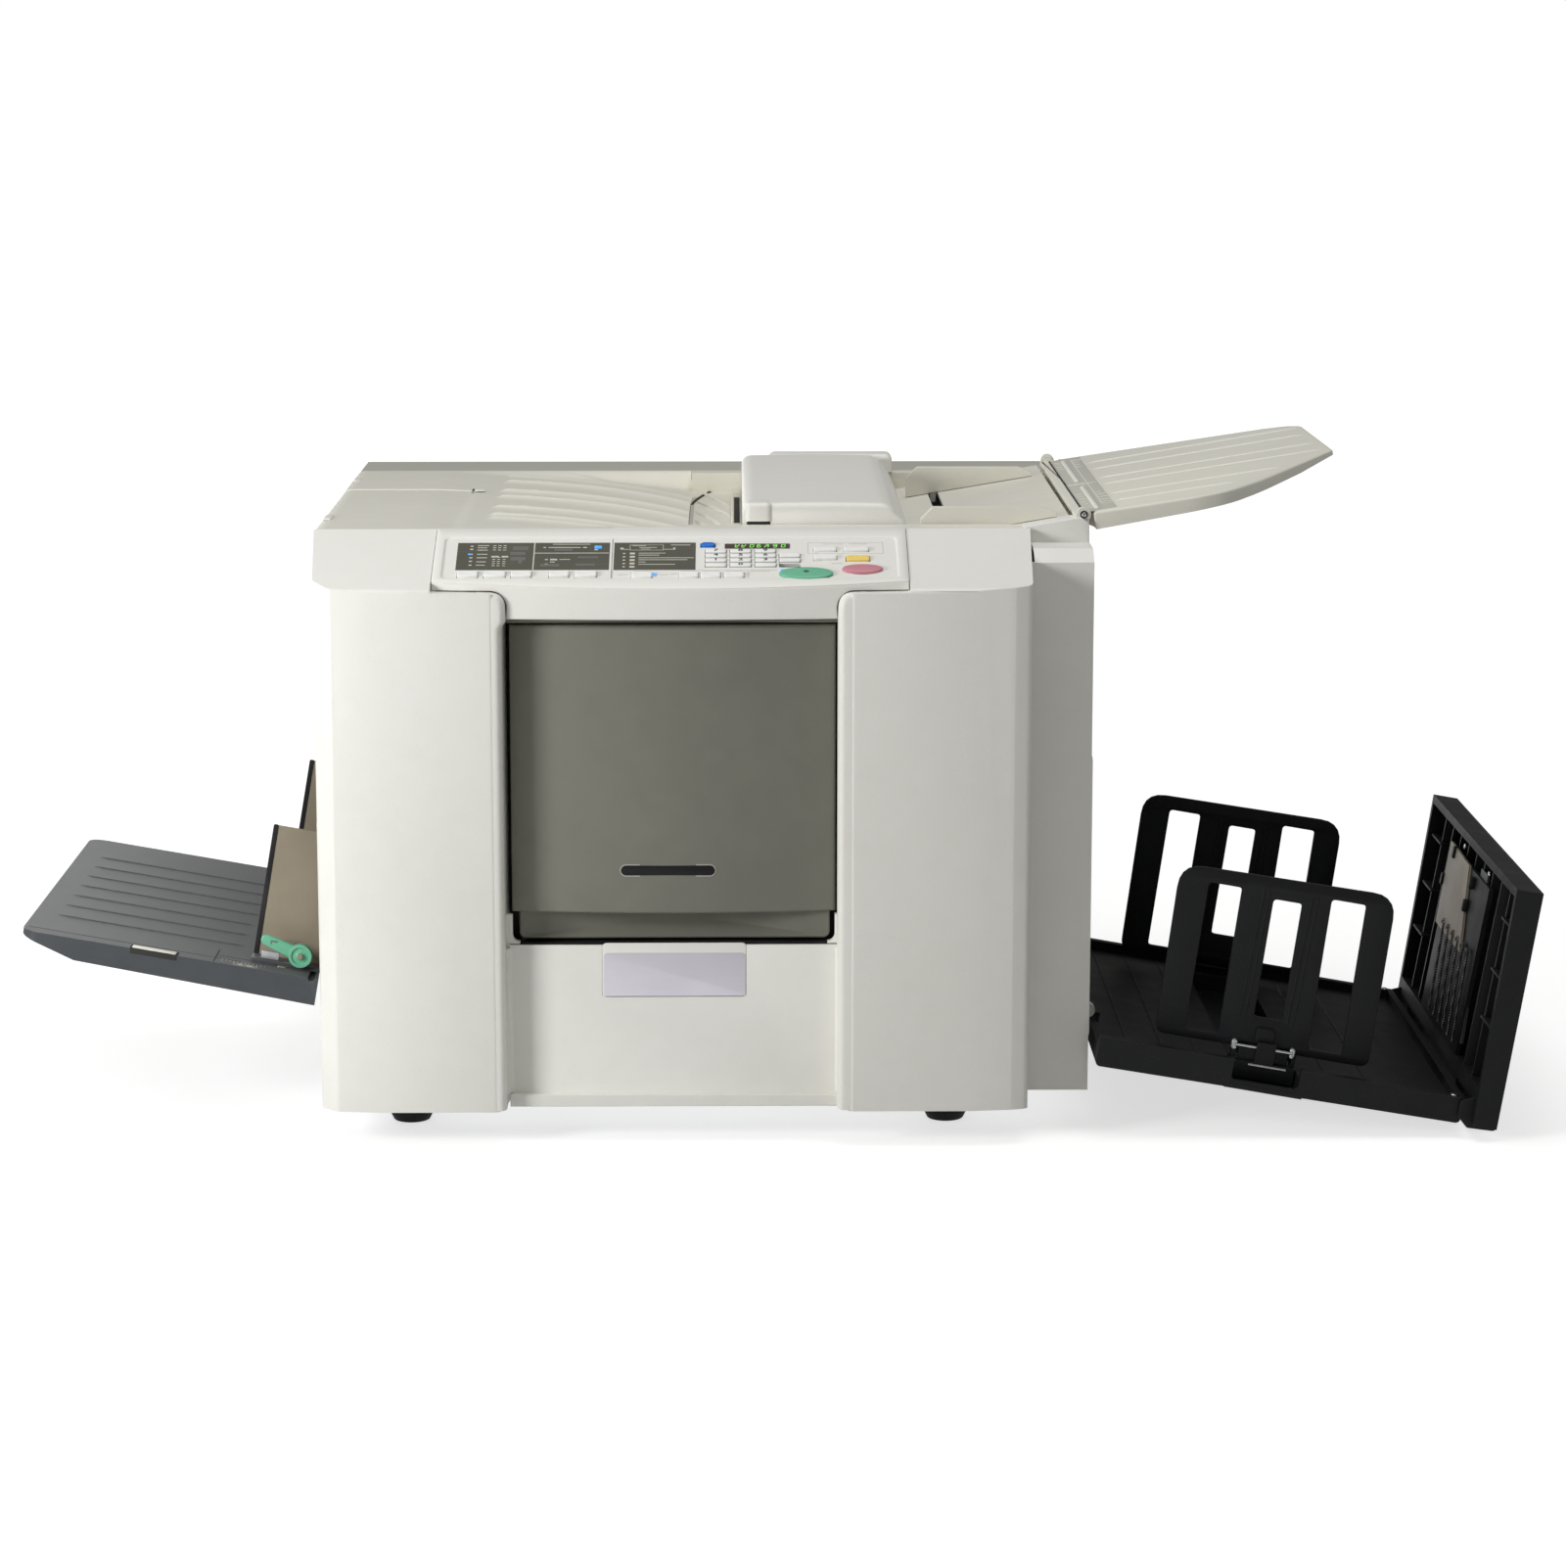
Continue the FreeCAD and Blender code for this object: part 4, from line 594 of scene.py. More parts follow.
def board(name):
    """Solder mask over copper: a cell pattern stands for tracks and pads."""
    f = Finish(name, Coat_Weight=0.3)
    cells = {"feature": "DISTANCE_TO_EDGE"}
    tracks = f.add("TexVoronoi", cells, {"Vector": f.place, "Scale": 120.0})
    line = f.steps(tracks, 0.03, 0.06)
    pads = f.steps(f.noise(260, 0), 0.66, 0.7)
    tint = f.blend(line, srgb(40, 108, 62), srgb(24, 84, 46))
    f.set("Base Color", f.blend(pads, tint, srgb(196, 186, 150)))
    f.set("Roughness", 0.4 - pads * 0.12)
    f.set("Normal", f.bump(line, 0.00008))
    return f.material


finish["master_film"] = film("master_film")
finish["board_green"] = board("board_green")
print("finishes so far", len(finish))


# %% Printed ink and lamps
def printed(name, colour, drift, rough=0.5):
    """Screen-printed ink: flat, a little uneven at its edge and in its cover."""
    f = Finish(name, Specular_IOR_Level=0.35)
    cover = f.noise(900, 3)
    cloud = f.noise(40, 2)
    f.set("Base Color", f.blend(cover * 0.5 + cloud * 0.3, colour, drift))
    f.set("Roughness", rough + cloud * 0.12)
    f.set("Normal", f.bump(cover, 0.00002))
    return f.material


def lamp(name, colour, glow, strength):
    """A small lit lens: brighter where its core shows through."""
    f = Finish(name, Coat_Weight=0.5, Roughness=0.2)
    core = f.noise(300, 2)
    f.set("Base Color", f.blend(core, colour, glow))
    f.set("Emission Color", f.blend(core, colour, glow))
    f.set("Emission Strength", strength)
    f.set("Normal", f.bump(core, 0.00002))
    return f.material


print_dark = printed("print_dark", srgb(70, 70, 68), srgb(92, 91, 86))
print_grey = printed("print_grey", srgb(176, 175, 168), srgb(196, 195, 188))
print_sand = printed("print_sand", srgb(200, 198, 186), srgb(192, 190, 178))
print_pale = printed("print_pale", srgb(216, 214, 202), srgb(190, 188, 174))
print_slate = printed("print_slate", srgb(112, 112, 110), srgb(98, 98, 94))
print_red = printed("print_red", srgb(232, 160, 140), srgb(240, 186, 168))
print_blue = printed("print_blue", srgb(150, 200, 232), srgb(176, 214, 238))
groove_dark = printed("groove_dark", srgb(40, 40, 38), srgb(54, 53, 50), 0.7)
lamp_blue = lamp("lamp_blue", srgb(20, 130, 240), srgb(90, 185, 255), 0.7)
lamp_green = lamp("lamp_green", srgb(80, 200, 60), srgb(150, 240, 110), 0.8)
lens_brown = window("lens_brown", srgb(74, 48, 44), srgb(58, 38, 34))
print("materials", len(bpy.data.materials))

# %% [markdown]
# ## Floor, backdrop and light
#
# The machine stands in a white studio. The world gives an even pale light from all round.
# The picture was lit by one near lamp at the left and in front, because the left column is
# bright, the right one greyer, and what stands behind a column lies in soft shade. A broad
# area lamp there does the same. A lamp overhead lights the top, and a weak one behind keeps
# the back from going dark. The floor is pale and keeps the shadow. What the camera and
# reflections see of it is lifted to white by a little glow, which lights nothing else.

# %% Floor and world
def studio(name, colour, drift, glow):
    """Pale matt floor whose glow shows only to the camera, mirrors and glass.

    The glow is least round the machine, where the lamps light the floor, and full far off.
    """
    f = Finish(name, Roughness=0.9, Specular_IOR_Level=0.1)
    cloud = f.noise(0.6, 2)
    f.set("Base Color", f.blend(cloud, colour, drift))
    eye = f.add("LightPath", out="Is Camera Ray")
    mirror = f.add("LightPath", out="Is Glossy Ray")
    glass = f.add("LightPath", out="Is Transmission Ray")
    seen = eye.larger(mirror).larger(glass)
    away = f.add("TexGradient", {"gradient_type": "SPHERICAL"}, {0: f.stretch(0.28, 0.28, 0.28)})
    f.set("Emission Color", f.blend(f.steps(away, 0.0, 0.85), (1.0, 1.0, 1.0, 1), glow))
    f.set("Emission Strength", seen)
    return f.material


floor_mesh = bpy.data.meshes.new("studio_floor")
t = np.linspace(0, 2 * math.pi, 96, endpoint=False)
disc = np.stack([40 * np.cos(t), 40 * np.sin(t), np.zeros(96)], -1)
floor_mesh.from_pydata(disc.tolist(), [], [list(range(96))])
floor = bpy.data.objects.new("studio_floor", floor_mesh)
bpy.context.scene.collection.objects.link(floor)
floor_mesh.materials.append(studio("studio_floor", (0.60, 0.60, 0.60, 1), (0.63, 0.63, 0.62, 1),
                                   (0.66, 0.66, 0.66, 1)))

world = bpy.data.worlds.new("studio_world")
bpy.context.scene.world = world
world.use_nodes = True
sky = world.node_tree
light = sky.nodes["Background"]
light.inputs["Color"].default_value = (1.0, 1.0, 0.99, 1)
light.inputs["Strength"].default_value = 0.25
plain = sky.nodes.new("ShaderNodeBackground")
plain.inputs["Color"].default_value = (1.0, 1.0, 1.0, 1)
plain.inputs["Strength"].default_value = 1.0
path = sky.nodes.new("ShaderNodeLightPath")
mixed = sky.nodes.new("ShaderNodeMixShader")
sky.links.new(path.outputs["Is Camera Ray"], mixed.inputs["Fac"])
sky.links.new(light.outputs["Background"], mixed.inputs[1])
sky.links.new(plain.outputs["Background"], mixed.inputs[2])
sky.links.new(mixed.outputs["Shader"], sky.nodes["World Output"].inputs["Surface"])
print("floor points", len(floor_mesh.vertices))


# %% Lamps
def softbox(name, power, place, aim, wide, tall):
    """An area lamp of wide by tall metres at a place, turned to shine at a point."""
    data = bpy.data.lights.new(name, "AREA")
    data.shape = "RECTANGLE"
    data.size = wide
    data.size_y = tall
    data.energy = power
    thing = bpy.data.objects.new(name, data)
    bpy.context.scene.collection.objects.link(thing)
    thing.location = place
    thing.rotation_euler = (Vector(place) - Vector(aim)).to_track_quat("Z", "Y").to_euler()


softbox("key_light", 16.5, (-1.33, -1.15, 0.72), (-0.1, -0.3, 0.3), 0.45, 0.45)
softbox("back_light", 9, (-1.2, 2.2, 0.6), (0, 0.3, 0.3), 1.0, 0.7)
softbox("top_light", 17.5, (0.15, -0.30, 2.35), (0, -0.1, 0.4), 1.4, 1.2)

# %% [markdown]
# ## The CAD pieces in their finishes
#
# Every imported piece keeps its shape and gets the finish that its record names. The covers
# and trays that show are moulded parts with soft edges, while the CAD solids end in sharp
# ones that catch no light. So each of those is copied: its loose triangles are joined, flat
# areas are merged into single faces, and a live bevel rounds what is left. The copy stands
# where the solid stands and replaces it. The two copies with the broadest flat faces take
# their shading from those faces, so that no streak runs out from a corner.

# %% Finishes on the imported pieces
for thing in nodes.values():
    for place in thing.material_slots:
        place.material = finish[place.material.name.split(".")[0]]

slot_of = {row["node"]: row["material_slot"] for row in frame["record"]["subparts"]}
body_of = {n: b for b, row in frame["record"]["behaviour"]["bodies"].items() for n in row}
print("slots in use", len(set(slot_of.values())))


# %% Soft-edged copies
def moulding(node, width, segments=2, warp=None):
    """Copies a solid, joins its triangles, merges flat areas and bevels its edges."""
    mesh = nodes[node].data.copy()
    mesh.name = node + "_moulding"
    tidy = bmesh.new()
    tidy.from_mesh(mesh)
    bmesh.ops.remove_doubles(tidy, verts=tidy.verts, dist=2e-6)
    bmesh.ops.dissolve_limit(
        tidy, angle_limit=math.radians(0.6), verts=tidy.verts, edges=tidy.edges)
    if warp:
        warp(tidy)
    bmesh.ops.recalc_face_normals(tidy, faces=tidy.faces)
    tidy.to_mesh(mesh)
    tidy.free()
    if mesh.has_custom_normals:
        mesh.normals_split_custom_set([(0, 0, 0)] * len(mesh.loops))
    mesh.shade_smooth()
    mesh.set_sharp_from_angle(angle=math.radians(40))
    thing = bpy.data.objects.new(node + "_moulding", mesh)
    bpy.context.scene.collection.objects.link(thing)
    soften(thing, width, segments)
    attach(thing, body_of[node])
    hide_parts(node)
    made.append(thing.name)
    return thing


TRIMMED_FRONT = -311
BACK_FACE = 329.0


def trim(tidy):
    """Draws the straight front of the panel back, to make room for a bowed one.

    Only the front upright face moves; its upper edge stays on the slope of the panel.
    """
    upper = PANEL_FOOT + (TRIMMED_FRONT - PANEL_FRONT) * math.tan(PANEL_ANGLE)
    for vertex in tidy.verts:
        if vertex.co.y < -315 * mm:
            vertex.co.y = TRIMMED_FRONT * mm
            if vertex.co.z > (PANEL_FOOT - 0.5) * mm:
                vertex.co.z = upper * mm


def back_in(tidy):
    """Moves the back of the rear cover in by a millimetre, so its screws stay inside."""
    for vertex in tidy.verts:
        if vertex.co.y > (BACK_FACE + 0.5) * mm:
            vertex.co.y = BACK_FACE * mm


WIDTHS = {
    "left_front_cover": 4.0, "right_front_cover": 4.0, "lower_front_panel": 1.0,
    "left_side_cover": 1.2, "right_side_cover": 1.2,
    "scanner_bed": 1.0, "original_guide_front": 1.6, "original_guide_back": 1.6,
    "feed_tray": 1.2, "feed_guide_front": 0.6, "feed_guide_back": 0.6,
    "receiving_tray": 1.0, "fence_base_front": 0.6, "fence_base_back": 0.6,
    "end_fence": 1.4,
    "display_windows": 0.2, "rubber_feet": 1.2, "base_pan": 0.6,
    "door_hinge_pins": 0.4,
}
copies = {node: moulding(node, width, 4 if width > 1.5 else 2) for node, width in WIDTHS.items()}
copies["panel_housing"] = moulding("panel_housing", 0.6, warp=trim)
copies["rear_cover"] = moulding("rear_cover", 0.8, warp=back_in)
# The rear cover takes the darker copy of the white plastic, painted shade on the back.
copies["rear_cover"].data.materials[0] = finish["rear_shaded_plastic"]
copies["door_hinge_pins"].data.materials[0] = finish["black_plastic"]

for node in ("right_side_cover", "panel_housing"):
    copies[node].modifiers["soft_edges"].harden_normals = False
    flat = copies[node].modifiers.new("flat_faces", "WEIGHTED_NORMAL")
    flat.keep_sharp = True
    flat.weight = 100
print("softened", len(made))

# %% [markdown]
# ## The top cover with its catch tray
#
# Originals leave the feeder at the right and slide down onto the top cover, so its top dips
# towards the feeder and carries ribs that bend like a fan. They hold the sheet off the
# surface. Drawing each rib as its own tube would leave a hard seam beside it. Here the whole
# top is one height worked out over the plan, and each rib is a soft ridge added to it.


# %% Heights over the plan
COVER_TOP = 502.0
COVER_DROP = 16.5
RIBS = ((204, 0.6), (187, 0.8), (141, 1), (70, 1), (24, 1), (-52, 1), (-107, 1), (-129, 0.8))


def smooth(x, low, high):
    """Nought to one as 3t^2 - 2t^3, with t running from low to high."""
    t = np.clip((x - low) / (high - low), 0, 1)
    return t * t * (3 - 2 * t)


def fallen(x):
    """Share of the fall, from nought at the flat part to one at the right edge."""
    return np.clip((x + 305) / 227, 0, 1)


def catch_height(x, y):
    """Height of the top cover in mm.

    A flat 502 at the left falls to 485.5 at the right; the rim at the front and the rear
    edge stay level. Each rib is a crest along the curve y = start - 75 ((x + 246) / 163)^2.7.
    It has a short steep side towards the front and a longer one behind, and both grow wider
    to the right. A step of 0.9 mm crosses the flat part at y = 62.
    """
    dip = COVER_DROP * fallen(x) ** 1.25
    level = COVER_TOP - dip * smooth(y, -212, -190) * (1 - smooth(y, 190, 209))
    along = np.clip((x + 246) / 163, 0, 2)
    slope = 75 * 2.7 / 163 * along**1.7
    ribs = np.zeros_like(level)
    for start, size in RIBS:
        away = (y - start + 75 * along**2.7) / np.sqrt(1 + slope**2)
        wide = 1 + 1.6 * along
        front = np.exp(-np.abs(np.minimum(away, 0)) / (4.2 * wide))
        back = np.exp(-((np.maximum(away, 0) / (2.4 * wide)) ** 2))
        ribs = np.maximum(ribs, size * (3.0 + 2.4 * along) * front * back)
    inside = smooth(x, -249, -241) * (1 - 0.3 * smooth(x, -90, -60))
    inside = inside * smooth(y, -205, -190) * (1 - smooth(y, 190, 206))
    step = 0.9 * (1 - smooth(y, 61.2, 62.4)) * (1 - smooth(x, -272, -266))
    return level + ribs * inside - step


LEFT_EDGE = -385.6
x = np.concatenate([np.linspace(LEFT_EDGE, -253, 30), np.linspace(-251, -77.5, 100)])
y = np.concatenate([np.linspace(-226.2, 60.5, 250), np.linspace(61, 63, 6),
                    np.linspace(63.6, 209.2, 128)])
gx, gy = np.meshgrid(x, y, indexing="ij")
ROUND = 1.2
across = 1 - np.clip((gx - LEFT_EDGE) / ROUND, 0, 1)
rim = ROUND * (1 - np.sqrt(1 - across**2))
top = np.stack([gx, gy, catch_height(gx, gy) - rim], -1)
under_y = np.linspace(209.2, -226.2, 12)
ux, uy = np.meshgrid(x, under_y, indexing="ij")
fall = fallen(ux)
under = np.stack([ux, uy, 498 - 16 * fall], -1)
under[:, [0, -1], 2] = 493 - 11 * fall[:, [0, -1]]
loops = np.concatenate([top, under], 1)
knuckles = []
for middle in (-190, 168):
    ends = np.array([-9, -8.4, 8.4, 9]) + middle
    size = np.array([3.4, 4.0, 4.0, 3.4])
    circle = ring(1, count=24)
    rows = [np.column_stack([-377 + circle[:, 0] * r, np.full(24, e), 494 + circle[:, 1] * r])
            for e, r in zip(ends, size)]
    knuckles.append(skin(np.array(rows)[:, ::-1]))
cover = gather([skin(loops[:, ::-1])] + knuckles)
piece("catch_cover", cover, "grey_top_plastic", "master_cover_body", replaces=("master_cover",),
      smooth=50)
print("top cover", len(cover[0]), "points")


# %% [markdown]
# The seam on the flat part ends in a finger notch, and the left edge shows two white hinge
# caps. Past the cover the bed carries four more short ribs in line with the fan, and a dark
# curved gap. The strip between cover and gap goes on at the cover's own height. A dark pad
# marks the mouth where sheets leave the feeder: painted shade inside the opening.

# %% Small parts of the top
def tube(path, radius, count=12, flat=1.0):
    """A round section carried along a path of points in mm; flat squeezes its height."""
    path = np.asarray(path, float)
    ahead = np.gradient(path, axis=0)
    ahead /= np.linalg.norm(ahead, axis=1, keepdims=True)
    side = np.cross(ahead, [0, 0, 1.0])
    side /= np.maximum(np.linalg.norm(side, axis=1, keepdims=True), 1e-9)
    up = np.cross(side, ahead)
    size = np.broadcast_to(np.asarray(radius, float), (len(path),))
    t = np.linspace(0, 2 * math.pi, count, endpoint=False)
    a = (size[:, None] * np.cos(t))[..., None] * side[:, None]
    b = (size[:, None] * np.sin(t) * flat)[..., None] * up[:, None]
    return skin(path[:, None] + a + b)


def ended(radius, steps=24, nose=0.18):
    """Radii along a rib: round noses over a share of its length at both ends."""
    s = np.linspace(0, 1, steps)
    edge = np.clip(np.minimum(s, 1 - s) / nose, 0.02, 1)
    return radius * np.sqrt(1 - (1 - edge) ** 2)


caps = [shifted(pad(rounded(7, 26, 2.2), 0, 1.1, 0.8), (-381.6, y0, 501.2)) for y0 in (141, -143)]
piece("hinge_caps", gather(caps), "white_plastic", "master_cover_body")

notch = shifted(pad(rounded(9, 11, 1.5), 0, 0.7, 0.6), (-264.5, 56, 501.4))
piece("finger_notch", notch, "white_plastic", "master_cover_body")
slit = shifted(pad(rounded(1.8, 14, 0.8), 0, 0.4, 0.2), (-271, 56, 501.7))
piece("notch_slit", slit, groove_dark, "master_cover_body", "black_plastic")


def bed_level(x):
    """The bed's top rises from 484 at x = -77 to 487 at x = 112, then to 509 at 242."""
    return np.interp(x, [-77, 112, 242], [484, 487, 509])


short = []
for start, reach in ((188, 36), (112, 38), (38, 30), (-32, 30)):
    along = np.linspace(0, 1, 20)
    xs = -72 + reach * 0.8 * along
    ys = start - 100 * along * (0.8 + 0.3 * along)
    path = np.column_stack([xs, ys, bed_level(xs) + 0.2])
    short.append(tube(path, ended(2.6, 20, 0.3), 12, 0.8))
piece("bed_ribs", gather(short), "grey_top_plastic", "casing")

t = np.linspace(0, 1, 24)
arc = np.column_stack([-77 + 19 * t**1.5, 84 + 116 * t, bed_level(-77 + 19 * t) + 0.3])
piece("curved_gap", tube(arc, ended(2.2, 24, 0.08), 10, 0.35), groove_dark, "casing",
      "black_plastic")
edge_y = np.linspace(84, 200, 60)
edge_x = -77 + 19 * ((edge_y - 84) / 116) ** 1.5
share = np.linspace(0, 1, 16)
lx = -77.5 + share * (edge_x[:, None] + 77.5)
ly = np.repeat(edge_y[:, None], 16, 1)
lip_top = np.maximum(catch_height(lx, ly), bed_level(lx) + 0.5)
lip_loops = np.concatenate([np.stack([lx, ly, lip_top], -1),
                            np.stack([lx, ly, bed_level(lx) - 1.5], -1)[:, ::-1]], 1)
piece("cover_lip", skin(lip_loops), "grey_top_plastic", "casing", smooth=50)
seam = np.column_stack([-75.4 - 0.6 * t, 84 - 282 * t, bed_level(-75.4) + 0.35 + 0 * t])
piece("cover_seam", tube(seam, 1.6, 10, 0.3), print_grey, "casing", "grey_top_plastic")
tongue = shifted(pad(np.array([[0, 0], [16, 3], [0, 9], [-60, 5], [-60, 0]], float), 0, 1.6, 0.5),
                 (-78, -222, 500.6))
piece("cover_tongue", tongue, "white_plastic", "master_cover_body")

# The mouth is a dark pad: painted shade inside the slot the sheets leave by.
mouth = shifted(pad(rounded(5, 190, 1.5), 0, 0.5, 0.3), (-35.5, 46, 484.5))
lip = shifted(pad(rounded(2.2, 194, 1.0), 0, 3.4, 0.9), (-39.6, 46, 484.2))
piece("sheet_exit_shade", mouth, groove_dark, "casing", "black_plastic")
piece("exit_lip", lip, "grey_top_plastic", "casing")
print("short ribs", len(short))

# %% [markdown]
# ## The key panel
#
# Two dark windows sit at the left of the panel, with a column of small lamps and print
# beside them. All print is made of plain bars and boxes, which give the panel its rhythm
# of small light marks. It is a skin a tenth of a millimetre thick, in panel coordinates:
# across, and up the slope.


# %% Print on the panel
def bar(left, right, low, high, base, thick=0.1):
    """A thin printed bar from (left, low) to (right, high)."""
    outline = np.array([[left, low], [right, low], [right, high], [left, high]], float)
    rows = ((0, base - 0.02), (0, base + thick * 0.6), (0.05, base + thick))
    return stacked([(inset(outline, i), z) for i, z in rows])


def bars(rows, base):
    """One bar for each row of left, right, low and high."""
    return [bar(*row, base) for row in rows]


def dots(places, wide, tall, base):
    """Bars of one size, each about its own place (u, v)."""
    return [bar(u - wide / 2, u + wide / 2, v - tall / 2, v + tall / 2, base) for u, v in places]


def words(left, rows, tall, base):
    """Bars that start at left, one for each row of height on the panel and width."""
    return [bar(left, left + wide, v - tall / 2, v + tall / 2, base) for v, wide in rows]


def crossed(us, vs):
    """Every place (u, v) of a grid."""
    return [(u, v) for u in us for v in vs]


def box_line(left, right, low, high, base, wide=0.45):
    """Four bars round a box."""
    inner = (low + wide, high - wide)
    return bars(((left, right, low, low + wide), (left, right, high - wide, high),
                 (left, left + wide, *inner), (right - wide, right, *inner)), base)


GLASS = 0.2
FACE = -0.02
FIVE_DOWN = (63.4, 57.8, 52.0, 46.2, 40.6)
pale = dots(crossed((-253.3,), (76.2, 71.0, 62.4, 56.4, 50.3, 43.7)), 2.6, 1.6, GLASS)
pale += words(-248.6, ((77.4, 9.36), (73.6, 7.92), (69.6, 8.64), (62.4, 8.64), (56.4, 8.64),
                       (49.4, 7.92), (43.7, 7.2)), 1.1, GLASS)
pale += dots(crossed((-234.6, -230.4, -226.2), (77.2, 73.6, 69.8)), 2.6, 1.0, GLASS)
pale += dots(crossed((-234.4, -230.4, -226.0), (57.2, 53.6, 50.0, 46.4, 42.8)), 2.4, 1.0, GLASS)
pale += bars((
    (-236.6, -230.6, 57.0, 59.6), (-228.2, -222.8, 57.0, 59.6), (-190.3, -164.0, 73.4, 74.6),
    (-187, -156, 79.0, 80.0), (-194.5, -192.5, 73.2, 74.8), (-162.0, -158.8, 73.2, 74.8),
    (-152.6, -149.6, 69.4, 71.0), (-192.6, -190.2, 52.4, 54.0), (-188.4, -182.6, 52.0, 54.4),
    (-180.8, -172, 52.8, 53.8), (-188.4, -184.4, 48.4, 49.6), (-192.6, -190.2, 44.6, 46.2),
), GLASS)
pale += box_line(-123.6, -96.0, 69.0, 78.4, GLASS)
pale += bars((
    (-121.5, -110.5, 76.6, 77.5), (-116, -101.5, 73.4, 74.2), (-114.5, -106.5, 70.6, 71.4),
    (-131.4, -124.2, 70.2, 71.0), (-96.0, -86.4, 70.2, 71.0), (-88.0, -86.2, 71.0, 73.6),
    (-90, -74, 77.6, 78.6), (-131.4, -128.6, 71.2, 73.4),
), GLASS)
pale += words(-116.2, ((64.0, 22), (60.6, 17), (56.0, 45), (52.6, 40), (48.6, 6), (44.8, 30)),
              0.9, GLASS)
pale += dots(crossed((-128.1,), FIVE_DOWN), 2.2, 1.6, GLASS)
pale += dots(crossed((-121.3,), FIVE_DOWN), 4.2, 3.0, GLASS)
piece("window_print", put(gather(pale), PANEL), print_pale, "casing", "white_plastic")

# The little picture of a tray in the first window, and the shapes in the second.
slate = bars((
    (-219.6, -206.8, 69.6, 76.0), (-221.4, -209.0, 61.0, 66.4), (-220.8, -208.4, 51.6, 57.6),
    (-214.4, -211.2, 46.8, 51.6), (-185.4, -170.6, 68.2, 71.8), (-166.0, -148.8, 55.6, 58.4),
    (-167.4, -151.6, 42.6, 46.2), (-196.0, -180.6, 41.4, 45.6),
), GLASS)
piece("window_shapes", put(gather(slate), PANEL), print_slate, "casing", "dark_window")

lines = bars(((-202.4, -201.4, 36.2, 82.2), (-201.4, -140.8, 63.8, 64.8)), GLASS)
piece("window_lines", put(gather(lines), PANEL), print_pale, "casing", "white_plastic")
print("bars", len(pale) + len(slate))

# %% Lamps, number display and frames
glow = []
for u, v, wide, tall in ((-254.7, 62.4, 2.6, 2.0), (-149.6, 74.5, 6.0, 4.6)):
    glow.append(shifted(pad(rounded(wide, tall, 0.6), 0, 0.35, 0.25), (u, v, GLASS - 0.02)))
for u, v, wide in ((-103.8, 27.2, 6.0), (-56.8, 27.4, 7.0), (2.0, 34.6, 4.6)):
    glow.append(shifted(pad(rounded(wide, 3.2, 0.7), 0, 0.5, 0.3), (u, v, FACE)))
piece("blue_lamps", put(gather(glow), PANEL), lamp_blue, "casing", "blue_plastic")

lens = shifted(pad(rounded(53.6, 8.4, 0.8), 0, 0.4, 0.25), (-19, 76, FACE))
piece("number_lens", put(lens, PANEL), lens_brown, "casing", "dark_window")


def segments(lit_ones, u, v, tall=4.6, wide=2.8, thick=0.7, lean=0.12):
    """A seven-bar digit from bars 0 to 6: top, upper left and right, middle, lower, base."""
    h, w, t = tall / 2, wide / 2, thick / 2
    across = {0: (-w, w, h), 3: (-w, w, 0.0), 6: (-w, w, -h)}
    standing = {1: (-w, 0.0, h), 2: (w, 0.0, h), 4: (-w, -h, 0.0), 5: (w, -h, 0.0)}
    out = []
    for k in lit_ones:
        if k in across:
            a, b, c = across[k]
            p, f = bar(a + t, b - t, c - t, c + t, 0.38)
        else:
            a, b, c = standing[k]
            p, f = bar(a - t, a + t, b + t * 0.6, c - t * 0.6, 0.38)
        p = p + np.stack([p[:, 1] * lean, np.zeros(len(p)), np.zeros(len(p))], -1)
        out.append((p + np.array([u, v, 0]), f))
    return out


DIGITS_AT = (-35.6, -30.2, -23.4, -17.6, -11.2, -4.4, 2.4)
digits = [s for u in DIGITS_AT for s in segments([k for k in range(7) if (k + int(u)) % 5], u, 76.0)]
piece("number_segments", put(gather(digits), PANEL), lamp_green, "casing", "green_plastic")

grey = box_line(-137.0, -26.0, 14.6, 35.2, FACE, 0.4)
grey += box_line(22.4, 84.4, 63.2, 82.4, FACE, 0.4)
grey += dots(crossed((-112.8, -75, -57.3, -38.3), (33.5,)), 14, 0.6, FACE)
for u, v, wide in ((-128.4, 27.6, 9), (-95, 27.6, 7), (-87, 28.4, 6), (-31, 27.8, 5)):
    grey += dots(((u, v),), wide, 0.8, FACE)
grey += dots(crossed((-252, -231, -209.5, -179.5, -158), (34.1,)), 10, 0.6, FACE)
for u, v, wide in ((-14, 35.2, 22), (-17, 33, 16), (46, 46.4, 9), (43, 79.6, 17), (64, 79.8, 15),
                   (30, 50.8, 8), (45, 74.6, 5), (37, 55.8, 14)):
    grey += dots(((u, v),), wide, 0.7, FACE)
piece("panel_print", put(gather(grey), PANEL), print_grey, "casing", "sheet_steel")

warm = bars(((33.0, 37.0, 74.2, 75.2), (59, 63.4, 74.2, 75.2)), FACE)
cool = bars(((28.4, 32.4, 74.2, 75.2), (54, 58.4, 74.2, 75.2)), FACE)
piece("print_warm", put(gather(warm), PANEL), print_red, "casing", "pink_plastic")
piece("print_cool", put(gather(cool), PANEL), print_blue, "casing", "blue_plastic")
print("number display", len(digits), "bars lit")


# %% [markdown]
# ## Digits and marks on the keys
#
# The digits come from a font as a flat curve. It is made a mesh first, and only then are
# its points laid on the key, so that the piece stays at the origin like every other one.
# The start and stop keys carry a plain diamond and a plain circle.

